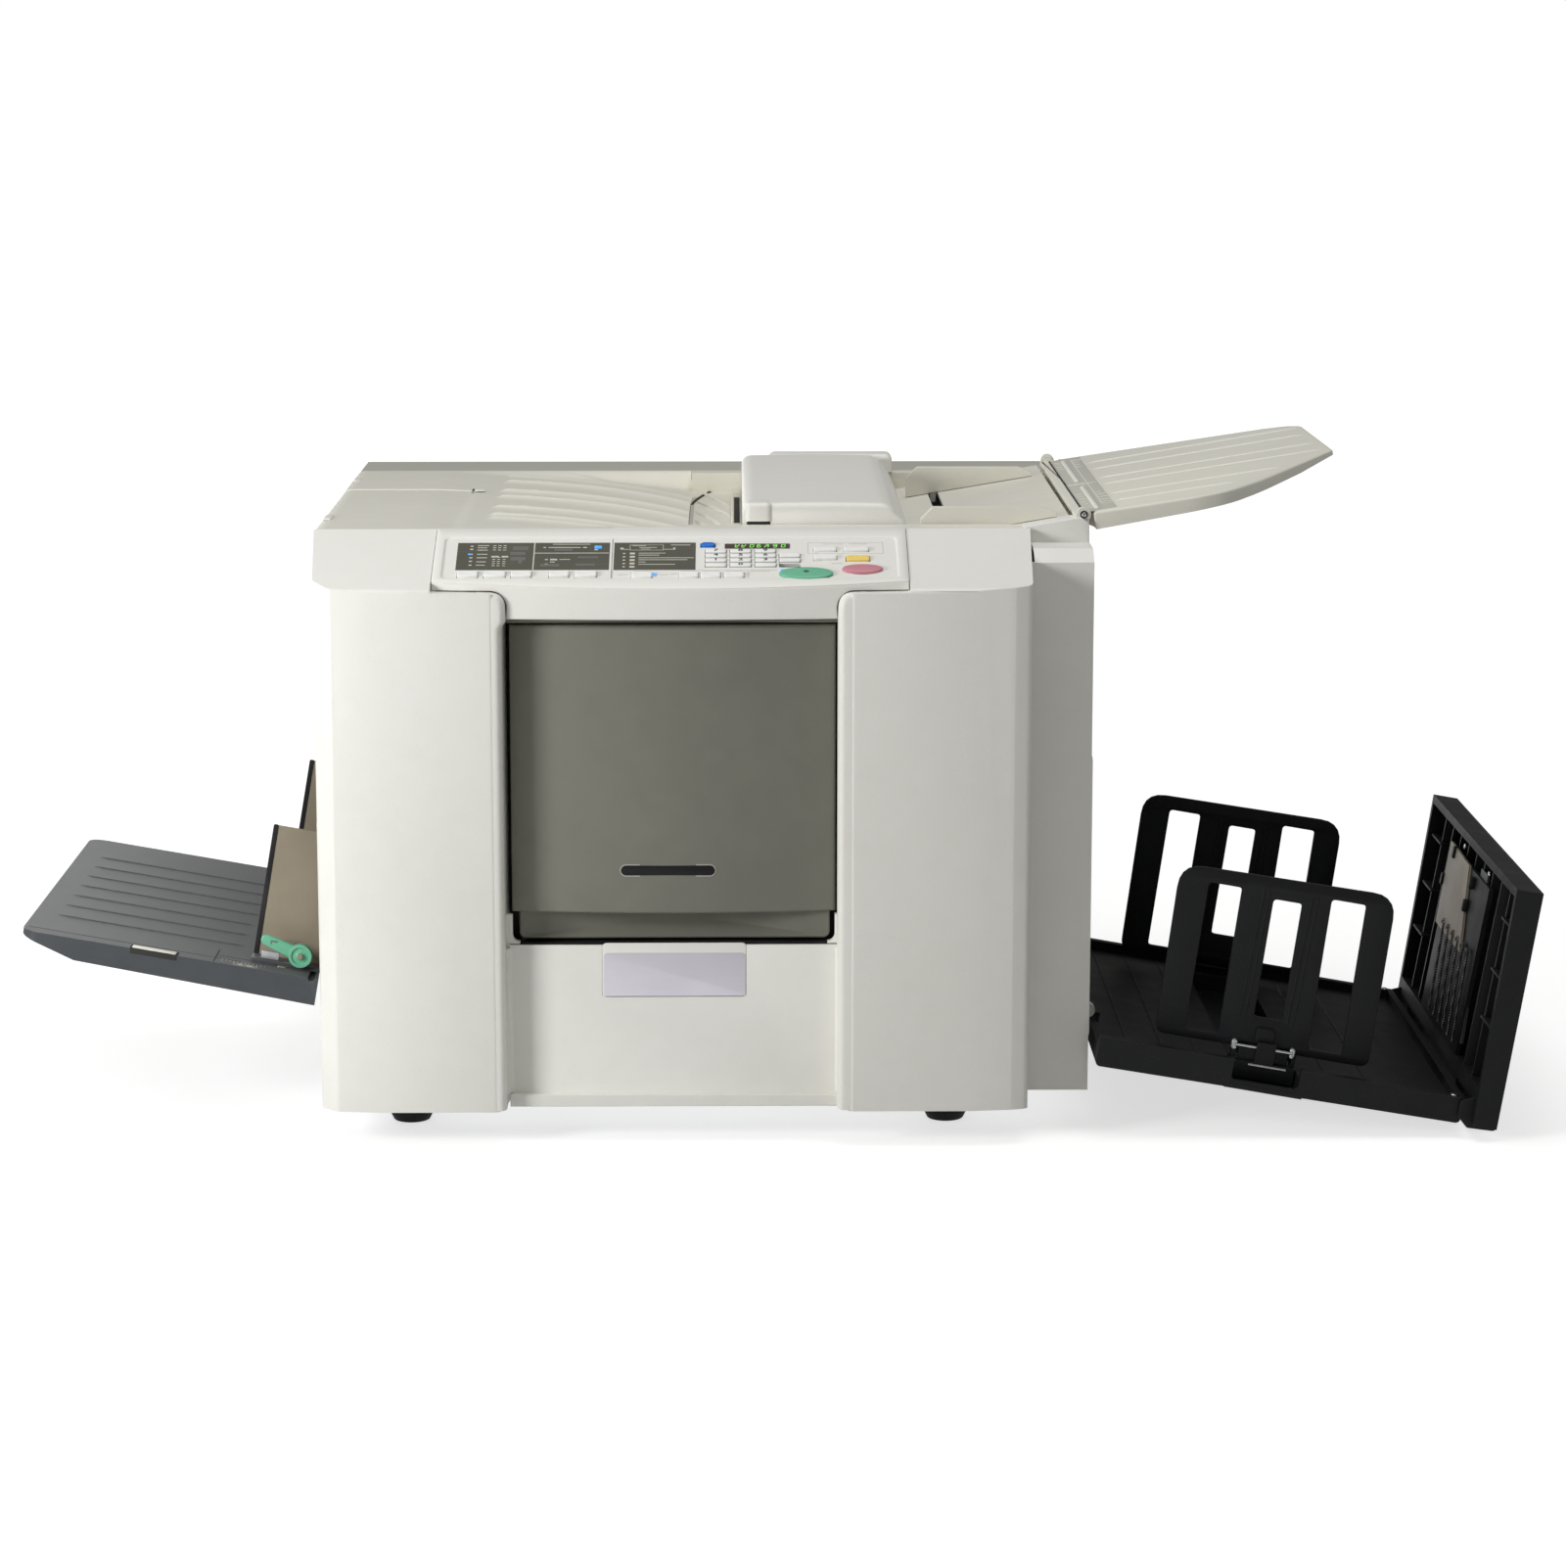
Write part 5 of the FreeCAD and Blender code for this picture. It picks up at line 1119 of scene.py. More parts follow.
# %% Digits
def mesh_of(curve):
    """The points and faces of a filled curve, which is then thrown away."""
    holder = bpy.data.objects.new(curve.name, curve)
    mesh = bpy.data.meshes.new_from_object(holder)
    points = np.empty(len(mesh.vertices) * 3)
    mesh.vertices.foreach_get("co", points)
    faces = [list(p.vertices) for p in mesh.polygons]
    bpy.data.objects.remove(holder)
    bpy.data.meshes.remove(mesh)
    bpy.data.curves.remove(curve)
    return points.reshape(-1, 3), faces


def lettering(text, size):
    """A word as a flat mesh of points and faces, centred on its own middle, in mm."""
    curve = bpy.data.curves.new("digit", "FONT")
    curve.body = text
    curve.size = size
    curve.extrude = 0.05
    curve.offset = 0.16
    curve.align_x = "CENTER"
    curve.align_y = "CENTER"
    curve.resolution_u = 3
    return mesh_of(curve)


KEY_TOP = 1.42
keypad = {(-53.0, 67): "7", (-32.7, 67): "8", (-12.4, 67): "9", (-53.0, 59): "4", (-32.7, 59): "5",
          (-12.4, 59): "6", (-53.0, 51): "1", (-32.7, 51): "2", (-12.4, 51): "3", (-32.7, 43): "0"}
marks = []
for (u, v), text in keypad.items():
    points, faces = lettering(text, 5.2)
    marks.append(shifted((points * [1.5, 1, 1], faces), (u, v, KEY_TOP)))
piece("key_digits", put(gather(marks), PANEL), print_dark, "number_keys_body", "black_plastic")

diamond = np.array([[0, -2.6], [3.2, 0], [0, 2.6], [-3.2, 0]])
rows = [(diamond * s, z) for s, z in ((1, 2.2), (1, 2.46), (0.9, 2.5))]
start_mark = shifted(stacked(rows), (20.5, 28.5, 0))
piece("start_mark", put(start_mark, PANEL), print_dark, "start_key_body", "black_plastic")
stop_mark = shifted(pad(ring(1.9, count=20), 1.5, 1.74, 0.05), (66.5, 38.6, 0))
piece("stop_mark", put(stop_mark, PANEL), print_dark, "stop_key_body", "black_plastic")
print("digits", len(marks))

# %% [markdown]
# ## Panel surround and keys
#
# The printed field of the panel lies a millimetre deep in a soft-edged surround. It could be
# cut into the housing; a ring laid on the slope does the same and leaves the solid whole.
# The front edge of the panel bows forwards over the door. Its section changes with the place
# along the machine, so it is drawn as one section per place and skinned across.
# The keys are separate caps: slightly dished, with a round upper edge that throws the small
# shade under each of them in the picture.

# %% Surround
def filled(outline, extra=38):
    """Adds points evenly along the lowest edge of an outline."""
    ahead = np.roll(outline, -1, 0)
    i = int(np.argmin(outline[:, 1] + ahead[:, 1]))
    t = np.linspace(0, 1, extra + 2)[1:-1, None]
    return np.insert(outline, i + 1, outline[i] + (ahead[i] - outline[i]) * t, axis=0)


def panel_edge(x):
    """Depth of the panel's bowed front edge: y = -325.8 + (x - middle)^2 / 3000."""
    return -325.8 + (x - BODY_MIDDLE) ** 2 / 3000


outer = filled(rounded(386.6, 105.4, 1.2, 6) + [-89.7, 53.4])
field = filled(rounded(370, 68.5, 4, 6) + [-90, 55.2])
bent = (panel_edge(outer[:, 0]) - PANEL_FRONT) / math.cos(PANEL_ANGLE)
outer[:, 1] += np.where(outer[:, 1] < 5, bent, 0)
ring_rows = [(outer, 0.05), (outer, 0.75), (inset(outer, 0.4), 1.0), (inset(field, -1.8), 1.0),
             (inset(field, -1.1), 0.88), (inset(field, -0.6), 0.5), (field, 0.02), (field, -0.4),
             (outer, -0.4)]
surround = stacked(ring_rows, (False, False))
piece("panel_surround", put(surround, PANEL), "white_plastic", "casing", smooth=60)


def front_section(x):
    """Closed section of the panel's front at x: slope, round edge, face, foot."""
    near = panel_edge(x)
    top = PANEL_FOOT + 0.8 + (near - PANEL_FRONT) * math.tan(PANEL_ANGLE)
    foot = 440.0 if -237.2 < x < 60.2 else 462.4
    t = np.linspace(math.radians(-20), math.pi / 2, 7)
    edge = np.column_stack([near + 1.8 - 1.8 * np.sin(t), top - 1.9 + 1.8 * np.cos(t)])
    low = [[near, foot + 0.8], [near + 0.8, foot], [near + 11, foot], [near + 11, top + 2.6]]
    return np.column_stack([np.full(11, x), np.concatenate([edge, low])])


xs = np.concatenate([np.linspace(-282.9, -237.4, 9), np.linspace(-237, 60, 56),
                     np.linspace(60.4, 103.4, 9)])
piece("panel_front", skin(np.array([front_section(v) for v in xs])), "white_plastic", "casing",
      smooth=40)
rule = bar(-138.1, -137.5, 20.8, 88.5, FACE)
piece("panel_rule", put(rule, PANEL), print_slate, "casing", "black_plastic")
print("front sections", len(xs))


# %% Key caps
def key_cap(u, v, wide, tall, high=1.6, corner=1.4, edge=0.8, dish=0.25):
    """A cap on the panel: rounded outline, soft edge, a shallow dish."""
    return shifted(pad(rounded(wide, tall, corner), -4, high, edge, dish=dish), (u, v, 0))


LONG_CAP = {"tall": 8.4, "high": 2.2, "corner": 1.6, "edge": 1.1, "dish": 0.4}
PROGRAM_CAP = {"high": 2.0, "corner": 1.4, "edge": 0.9}
grid = crossed((-53, -32.7, -12.4), (43, 51, 59, 67))
extra = [(7.5, 51), (7.5, 59)]
numbers = [key_cap(u, v, 17, 5.4, 1.4, dish=0) for u, v in grid]
numbers += [key_cap(u, v, 17, 5.4, 1.4) for u, v in extra]
# Dark bars round each number key: painted shade in the gaps between the caps.
wells = [bar(u - 9.1, u + 9.1, v - 3.3, v + 3.3, 0.02, 0.08) for u, v in grid + extra]
piece("key_shade_wells", put(gather(wells), PANEL), print_slate, "casing", "black_plastic")
piece("number_key_caps", put(gather(numbers), PANEL), "key_white", "number_keys_body",
      replaces=("number_keys",), smooth=50)
lamp_row = [(-263, -246), (-241.5, -223.5), (-219.5, -202.5), (-188.5, -172), (-167.5, -149.5)]
settings_row = [(-121.5, -104.5), (-83, -67), (-65.5, -49), (-46.5, -30)]
programs = [(27, 46, 66, 72), (52, 72.5, 66, 72), (27, 46, 52, 59)]
function = [key_cap((a + b) / 2, 27.3, b - a, **LONG_CAP) for a, b in lamp_row]
function += [key_cap((a + b) / 2, 25.4, b - a, **LONG_CAP) for a, b in settings_row]
function += [key_cap((a + b) / 2, (c + d) / 2, b - a, d - c, **PROGRAM_CAP)
             for a, b, c, d in programs]
piece("function_key_caps", put(gather(function), PANEL), "key_white", "function_keys_body",
      replaces=("function_keys",), smooth=50)


def oval_cap(u, v, wide, tall, high):
    """The big oval keys: an ellipse with a broad round edge and a gentle crown."""
    return shifted(pad(ring(wide / 2, tall / 2, 48), -4, high, 1.5, crown=0.3, steps=6), (u, v, 0))


piece("start_key_cap", put(oval_cap(20.5, 27.5, 44.4, 19.4, 2.2), PANEL), "green_plastic",
      "start_key_body", replaces=("start_key",), smooth=60)
piece("stop_key_cap", put(oval_cap(66.5, 35, 33.4, 14.4, 2.2), PANEL), "pink_plastic",
      "stop_key_body", replaces=("stop_key",), smooth=60)
piece("reset_key_cap", put(key_cap(63.3, 53.7, 19, 8, 1.8, 1.6, 0.9), PANEL), "yellow_plastic",
      "reset_key_body", replaces=("reset_key",))
piece("mode_key_cap", put(key_cap(-59.5, 77.5, 11.4, 6.4, 1.8, 3.1, 0.9), PANEL), "blue_plastic",
      "mode_key_body", replaces=("mode_key",))
print("keys", len(numbers) + len(function) + 4)

# %% [markdown]
# ## The cover of the document feeder
#
# The cover is a low arched hood. Its section, carried from the front to the back, rises
# straight at the left, turns over a soft corner, crowns slightly and slants down at the
# right. The front end is rounded over by lowering the section near it. A small block ends
# the cover at its front left corner, and a dark pad under it is painted shade in the slot
# beneath the block.


# %% Hood of the feeder
HOOD_LEFT = -31
HOOD_FOOT = 489.7
HOOD_SHOULDER = 519.4
HOOD_FRONT = -197.5
HOOD_BACK = 185.5


def hood_section(y):
    """Points of the section at depth y, from the left foot over the top to the right foot.

    Left corner: a quarter circle of 9 mm. Top: from 519.4 up to 520 in the middle. Right
    corner: a wide arc, then a slant out to x = 109. Near the front, heights are squeezed by
    a quarter circle of 5 mm.
    """
    t = np.linspace(0, 1, 9)
    turn = t * math.pi / 2
    left = np.column_stack([HOOD_LEFT + 9 * (1 - np.cos(turn)), 511 + 8.4 * np.sin(turn)])
    across = np.linspace(-21, 84, 20)
    crown = 0.6 * np.sin((across + 22) / 106 * math.pi)
    top = np.column_stack([across, HOOD_SHOULDER + crown])
    turn = t * math.pi / 2.6
    arc = np.column_stack([84 + 14 * np.sin(turn), HOOD_SHOULDER - 12 * (1 - np.cos(turn))])
    foot = np.array([[HOOD_LEFT, z] for z in (HOOD_FOOT, 492, 500, 508)])
    slant = np.array([[101.5, 507.5], [104.5, 503], [107, 498.5], [108.8, 494], [109, HOOD_FOOT]])
    line = np.concatenate([foot, left, top, arc, slant])
    near = np.clip((y - HOOD_FRONT) / 5, 0, 1)
    far = np.clip((HOOD_BACK - y) / 6, 0, 1)
    low = 5 * (1 - np.sqrt(1 - (1 - near) ** 2)) + 6 * (1 - np.sqrt(1 - (1 - far) ** 2))
    share = (line[:, 1] - HOOD_FOOT) / 30.3
    z = line[:, 1] - low * share**2
    x = line[:, 0] + np.where(line[:, 0] > 60, -0.35, 0.12) * low * share
    return np.column_stack([x, np.full(len(x), y), z])


ys = np.concatenate([HOOD_FRONT + 5 * (1 - np.cos(np.linspace(0, math.pi / 2, 8))),
                     np.linspace(-185, 172, 26),
                     HOOD_BACK - 6 * (1 - np.sin(np.linspace(0, math.pi / 2, 6)))])
hood = skin([hood_section(v)[::-1] for v in ys])
rear = shifted(pad(rounded(114, 32, 6), 0, 17, 6, steps=7), (51, 196, 503.2))
block = shifted(pad(rounded(23, 26, 5, 7), 0, 15.4, 4, steps=6), (-17.6, -186.8, 504.6))
# A dark pad under the block: painted shade in the slot beneath it.
notch = shifted(pad(rounded(20, 6, 1.5), 0, 4.2, 0.8), (-17.6, -195.4, 500.2))
piece("feeder_hood", gather([hood, rear]), "white_plastic", "adf_cover_body",
      replaces=("adf_cover",), smooth=45)
piece("feeder_block", block, "white_plastic", "adf_cover_body", smooth=45)
piece("feeder_slot_shade", notch, groove_dark, "adf_cover_body", "black_plastic")
print("hood", len(hood[0]), "points")

# %% [markdown]
# ## Door, finger cup and badge
#
# The door is a smoked grey moulding over the drum. It carries a bare black capsule with a
# thin raised rim. Both are drawn flat and then bent onto the bow of the door. The rest of
# the cell gives the door its hinge and the panel below it a bare badge plate.


# %% Door parts
DOOR_BOW = 923


def door_front(x):
    """Depth of the door's front: an arc of radius DOOR_BOW about the body's middle."""
    return -307 + (DOOR_BOW - np.sqrt(DOOR_BOW**2 - (x - BODY_MIDDLE) ** 2))


capsule = pad(rounded(77, 8.2, 4.1, 9), 0, 0.9, 0.5)
RIM_ROWS = ((79, 10.2, -0.2), (79, 10.2, 0.35), (77.4, 8.6, 0.35), (77.4, 8.6, -0.2))
rim_line = stacked([(rounded(w, h, h / 2, 9), z) for w, h, z in RIM_ROWS], (False, False))


def on_door(shape, x, z):
    """Bends a flat shape onto the door's front at (x, z)."""
    points, faces = shape
    px, pz, out = points[:, 0] + x, points[:, 1] + z, points[:, 2]
    return np.column_stack([px, door_front(px) - out, pz]), faces


CAPSULE_AT = (-93, 229.5)
piece("door_capsule", on_door(capsule, *CAPSULE_AT), "black_plastic", "door")
piece("capsule_rim", on_door(rim_line, *CAPSULE_AT), print_grey, "door", "sheet_steel")

knuckle = turned([(4.2, 0), (4.9, 0.7), (4.9, 21.3), (4.2, 22)], 28, (True, True))
piece("door_knuckle", shifted(knuckle, (-213, -289.6, 417.4)), "black_plastic", "door")

badge = upright(shifted(pad(rounded(117.4, 36.6, 3.0), 0, 1.2, 0.4), (-88, 140.9, 302.3)))
piece("badge_face", badge, "badge_metal", "casing", replaces=("badge_plate",))
print("capsule and badge placed")

# %% [markdown]
# ## Front: gaps, corners and the lower panel
#
# The columns end in a rounded corner under the panel, and their inner sides turn back to the
# door with a soft edge. A cheek of the same plastic, drawn as one outline carried forwards
# while it shrinks, makes both. Round the door runs a black gap. Thin black strips behind the
# gap are painted shade: they stand in for the shade inside it and keep it black from every
# side, whatever lies inside. At the foot of the bay small hooks round its corners, and a cove
# joins the lower panel to the columns.

# %% Cheeks and liner
def cheek(low_side, base):
    """Inner edge of a column: its inner and upper sides turn to the front with 6 mm radius.

    The lower part of its side lies at low_side, and its foot reaches back to base.
    """
    rows = []
    turn = np.linspace(0, math.pi / 2, 7)
    steps = [(0, base)] + [(6 - 6 * math.cos(a), 320.5 + 6 * math.sin(a)) for a in turn]
    for back, out in steps:
        side, top = 46.2 + back, 462.3 - back
        corners = [(low_side + back, 31), (69, 31), (69, top), (side, top), (side, 438),
                   (low_side + back, 433)]
        rows.append((rounded_corners(corners, (0.4, 0.4, 0.4, 13 - back, 2, 2), 8), out))
    return stacked(rows)


def mirrored(shape, across=(-1, 1, 1)):
    """The mirror image of a shape, its faces turned so that they still point outwards."""
    points, faces = shape
    return points * across, [f[::-1] for f in faces]


right_cheek = cheek(46.21, 300)
left_cheek = shifted(mirrored(cheek(49.5, 312)), (2 * BODY_MIDDLE, 0, 0))
block = shifted(pad(rounded(19.5, 133, 0.6), 300, 314, 0.4), (-236.3, 97.5, 0))
cheeks = [right_cheek, left_cheek, block]
piece("apron_cheeks", upright(gather(cheeks)), "white_plastic", "casing", smooth=50)


def slab(left, right, low, high, near, far, edge=0.4):
    """A thin upright plate between two depths, with softly broken edges."""
    shape = pad(rounded(right - left, high - low, min(1.0, (right - left) / 3)), -far, -near, edge)
    return upright(shifted(shape, ((left + right) / 2, (low + high) / 2, 0)))


# Black strips behind the door gap: painted shade, standing in for the shade inside the gap.
liner = [slab(-224.8, -217.6, 166.5, 438, -281, -277), slab(40.6, 47.8, 166.5, 438, -281, -277),
         slab(-217.6, 40.6, 166.5, 172, -283, -277)]
piece("door_gap_shade", gather(liner), "black_rubber", "casing")
head = slab(-224.8, 47.8, 434, 441, -299, -277)
piece("door_head", head, "door_grey", "casing")
t = np.linspace(0, math.pi / 2, 8)
hook = np.concatenate([[[-4, 0], [-4, 31], [3.6, 31]],
                       np.column_stack([9.6 - 6 * np.cos(t), 14 - 6 * np.sin(t)]), [[9.6, 0]]])[::-1]
hooks = [pad(hook, 293.5, 300.4, 0.6), pad(hook[::-1] * [-1, 1], 293.5, 300.4, 0.6)]
corners = [shifted(hooks[0], (-225, 160, 0)), shifted(hooks[1], (48, 160, 0))]
piece("bay_corners", upright(gather(corners)), "white_plastic", "casing")
cove = np.concatenate([np.column_stack([6 - 6 * np.sin(t), 6 - 6 * np.cos(t)]),
                       [[-4.2, 6], [-4.2, -0.5], [6, -0.5]]])
left_cove = mirrored(stacked([(cove[::-1], z) for z in (41, 42, 162, 163.5)]), (1, -1, 1))
fillets = [shifted(left_cove, (-225, -302.4, 0)), shifted(mirrored(left_cove), (48, -302.4, 0))]
piece("panel_coves", gather(fillets), "white_plastic", "casing", smooth=60)
shelf = shifted(pad(rounded(271, 42, 0.8), 0, 0.6, 0.25), (BODY_MIDDLE, -280, 166.0))
piece("bay_shelf", shelf, "black_rubber", "casing")
print("cheeks", len(cheeks), "liner strips", len(liner))

# %% [markdown]
# ## Door
#
# The door is one bowed skin with returns at the top and bottom, open at the back, as a
# moulding of 3 mm wall would be. It is drawn as one C-shaped section carried across the
# width: the front follows the bow, the corners are quarter circles, and at both ends the
# section closes to a solid edge. Thin ribs cross the hollow behind. Under the skin hangs the
# finger cup, a shallow bowl with rounded corners.


# %% Door and cup
DOOR_LEFT = -221.8
DOOR_RIGHT = 44.8
DOOR_TOP = 432.4
DOOR_FOOT = 193.2
DOOR_BACK = -284
FRONT_POINTS = 19


def door_section(x):
    """Closed section of the door at x: front face, soft corners, and the hollow behind."""
    near = door_front(x) if DOOR_LEFT < x < DOOR_RIGHT else door_front(x) + 0.8
    t = np.linspace(0, math.pi / 2, 6)
    radius = 2.6
    bend = radius * (1 - np.cos(t))
    top = np.column_stack([near + bend, DOOR_TOP - radius + radius * np.sin(t)])
    low = np.column_stack([near + bend, DOOR_FOOT + radius - radius * np.sin(t)])[::-1]
    middle = np.column_stack([np.full(7, near), np.linspace(220, 400, 7)])
    deep = -294.0 if DOOR_LEFT + 15 < x < DOOR_RIGHT - 4 else -284.1
    hollow = np.array([[DOOR_BACK, DOOR_TOP], [DOOR_BACK, 428], [deep, 427.9], [deep, 197.3],
                       [DOOR_BACK, 197.2], [DOOR_BACK, DOOR_FOOT]])
    loop = np.concatenate([low, middle, top, hollow])
    return np.column_stack([np.full(len(loop), x), loop])


xs = np.concatenate([DOOR_LEFT + np.array([0, 0.3, 0.8, 1.6, 14.9, 15.3]),
                     np.linspace(-200, 30, 40),
                     DOOR_RIGHT - np.array([4.2, 3.8, 1.6, 0.8, 0.3, 0])])
sections = np.array([door_section(v) for v in xs])
from_end = np.minimum(xs - DOOR_LEFT, DOOR_RIGHT - xs)
lift = np.interp(from_end, [0, 0.3, 0.8, 1.6], [1.2, 0.6, 0.2, 0])
sections[:, :FRONT_POINTS, 1] += lift[:, None]
piece("door_skin", skin(sections), "door_grey", "door", replaces=("front_door",), smooth=40)

cup = shifted(pad(rounded(256.6, 33.8, 5.5, 7), 0, 29.2, 1.8, dish=13), (-87.8, 186.4, 264.4))
piece("finger_cup", upright(cup), "door_grey", "door", smooth=50)
ribs = [slab(x0 - 1, x0 + 1, 198, 425, -293.6, -285) for x0 in (-160, -113, -66, -19)]
ribs += [slab(-206, 40, z0 - 1, z0 + 1, -293.6, -287) for z0 in (255, 310, 365)]
piece("door_ribs", gather(ribs), "door_grey", "door")
print("door", len(xs), "sections")

# %% [markdown]
# The badge sits on a raised base that is as white as the panel; the base stands a little
# higher than the plate, so a pale strip shows over it. At the right end of the machine a low
# wall hides the hinge of the tray for originals. A fine dark line marks the joint round the
# upper corners of both columns.

# %% Badge base and hinge wall
base = upright(shifted(pad(rounded(119, 46, 3.6), 0, 1.1, 0.5), (-88, 144.6, 301.9)))
piece("badge_base", base, "white_plastic", "casing")

wall = np.array([[203, 484], [256.4, 484], [256.4, 506], [250, 510.4], [242, 509.6],
                 [203, 503]], float)
piece("lug_wall", upright(pad(wall, 200.4, 226.0, 0.8)), "white_plastic", "casing")
print("badge base and hinge wall", len(base[0]) + len(wall), "points")

# %% Joint line round the column corners
t = np.linspace(0, math.pi / 2, 12)
arc = np.column_stack([59.2 - 13.6 * np.sin(t), np.full(12, -320.8), 449.3 + 13.6 * np.cos(t)])
path = np.concatenate([[[103, -313.6, 462.2], [80, -316.6, 462.3]], arc, [[45.6, -320.8, 437]]])
size = np.concatenate([[0.3, 0.4], np.full(13, 0.55)])
other = path * [-1, 1, 1] + [2 * BODY_MIDDLE, 0, 0]
lines = [tube(path, size, 8), tube(other, size, 8)]
piece("corner_lines", gather(lines), groove_dark, "casing", "black_plastic")
print("points along a corner line", len(path))

# %% [markdown]
# ## Tray for originals
#
# The tray is a shallow dish turned over: deep beside its hinge, thin at its tip, with one long
# bowed side. Its outline is drawn as a polygon with a radius at each corner and carried down.
# Six long low ribs fan out over it, two raised stops cross it near the hinge, and short ticks
# beside them mark the widths of a sheet. The ribs are half-round rods sunk to their middle in
# the tray. A bolt with a dark ring holds the hinge.

# %% Plate of the tray
corner = [(-7.6, -212.6), (8, -212.6), (8, -221), (96, -221), (124, -211), (154, -177), (196, -109),
          (229, -55), (233, -49), (233, 161), (222, 177), (200, 183), (8, 183), (8, 178.6),
          (-7.6, 178.6)]
radius = (1, 0.5, 2, 80, 55, 250, 100, 12, 10, 16, 14, 16, 1, 0.5, 1)
points, faces = pad(rounded_corners(corner, radius, 8), -14, 1.0, 2.8, steps=6)
under = np.interp(points[:, 0], [-9, -2, 9, 130, 200, 240], [-2.5, -4, -14, -10, -7, -2.5])
points[:, 2] = 1 - (1 - points[:, 2]) * (1 - under) / 15
PINS = ((-220.8, -205, 2.9), (175, 196.8, 2.9), (-212.4, -204, 4.4), (172, 178.4, 4.4))
pins = [tube([[0, a, 0], [0, (a + b) / 2, 0], [0, b, 0]], size, 20) for a, b, size in PINS]
slot = slot_of["original_tray"]
piece("tray_plate", put(gather([(points, faces)] + pins), ORIGINAL), slot, "original_tray_body",
      replaces=("original_tray",), smooth=50)
print("tray for originals", len(points), "points")

# %% Ribs, stops and ticks
starts = np.array([118.7, 68.2, -2.0, -48.8, -119.4, -168.9])
ends = np.array([146.9, 90.3, 18.2, -35.2, -113.6, -166.5])
reach = np.array([226.4, 225.5, 225, 224.5, 177.3, 133.2])
long_ribs = []
for low, high, far in zip(starts, ends, reach):
    s = np.linspace(0, 1, 24)
    path = np.column_stack([31.5 + (far - 31.5) * s, low + (high - low) * s, np.full(24, 0.0)])
    long_ribs.append(tube(path, ended(1.5, 24, 0.03), 12, 0.6))
spoke = np.array([[0, -1.1], [25, -0.3], [25, 0.3], [0, 1.1]])
arrow = np.array([[-4.6, 0], [0, -5], [4.6, 0]])
stops = [shifted(pad(rounded(3.4, 162, 1.2), -0.5, 1.3, 0.9), (11.6, 75, 0)),
         shifted(pad(rounded(3.4, 158, 1.2), -0.5, 1.3, 0.9), (12.6, -127, 0)),
         shifted(pad(spoke, -0.5, 0.5, 0.2), (1.5, -26, 0)),
         shifted(pad(arrow, -0.5, 0.5, 0.2), (12.4, -22.5, 0))]
TRAY_FACE = (0, 0, 1.0)
tray_ribs = put(shifted(gather(long_ribs + stops), TRAY_FACE), ORIGINAL)
piece("tray_ribs", tray_ribs, "white_plastic", "original_tray_body", smooth=60)
band = bar(1.6, 29, -212, 176, 0.02, 0.05)
piece("tray_band", put(shifted(band, TRAY_FACE), ORIGINAL), print_sand, "original_tray_body",
      "white_plastic")
ticks = []
for y0 in (152, 138, 120, 102, -96, -112, -130, -148, -164):
    ticks.append(bar(19, 19 + (9 if y0 % 3 else 6), y0 - 0.5, y0 + 0.5, 0.02, 0.25))
    ticks.append(bar(3, 8.2, y0 - 0.5, y0 + 0.5, 0.02, 0.25))
ticks += box_line(19, 29.4, -176, 160, 0.02, 0.7)
ABOVE_BAND = (0, 0, 1.06)
piece("tray_ticks", put(shifted(gather(ticks), ABOVE_BAND), ORIGINAL), "white_plastic",
      "original_tray_body")
hinge_gap = bar(-0.4, 1.2, -214, 178, 0.1, 0.3)
piece("tray_gap", put(shifted(hinge_gap, TRAY_FACE), ORIGINAL), groove_dark, "original_tray_body",
      "black_plastic")
print("long ribs", len(long_ribs), "ticks", len(ticks))

# %% [markdown]
# ## Screws and pins
#
# Every screw is the same small form: a domed head with a soft rim and two dark slots that
# cross. The head is a pad on a circle; the slots are thin bars that lie just on top of it.


# %% Screw heads
def screw_head(radius, high=1.2):
    """Head of a crosshead screw, looking up the local z axis, and its two slots."""
    head = pad(ring(radius, count=24), -0.4, high, high * 0.6, crown=high * 0.2)
    long, thin = radius * 0.62, radius * 0.13
    level = high * 1.2 - 0.05
    # The slots are dark bars on the head: painted shade standing in for the cross recess.
    slots = [bar(-long, long, -thin, thin, level, 0.12), bar(-thin, thin, -long, long, level, 0.12)]
    return head, gather(slots)


def backward(shape):
    """Stands a flat shape up with its top facing +y."""
    points, faces = shape
    return np.column_stack([-points[:, 0], points[:, 2], points[:, 1]]), faces


def screws(name, places, radius, stand, frame, body):
    """Screws at places (mm, in the frame), stood by a function such as upright."""
    head, slots = screw_head(radius)
    heads = [shifted(stand(head), p) for p in places]
    marks = [shifted(stand(slots), p) for p in places]
    piece(name, put(gather(heads), frame), "turned_steel", body, smooth=50)
    piece(name + "_slots", put(gather(marks), frame), groove_dark, body, "black_plastic")


lug = shifted(upright(pad(ring(3.2, count=32), 0, 0.7, 0.5)), (252.5, -221.2, 512.6))
piece("lug_ring", lug, "black_plastic", "casing")
screws("lug_bolt", [(252.5, -222.0, 512.6)], 2.0, upright, WORLD, "casing")
print("a screw head has", len(screw_head(2.0)[0][0]), "points")

# %% [markdown]
# ## Feed tray
#
# The tray floor carries a pale insert at its front edge, low ribs, and lines and a scale
# printed under the front guide. The two brown guides have a dark edge strip, and their feet hide
# under a grey strip. The green lever is a disc with a raised ring and a steel screw in its
# middle, and its handle carries a small dark mark.

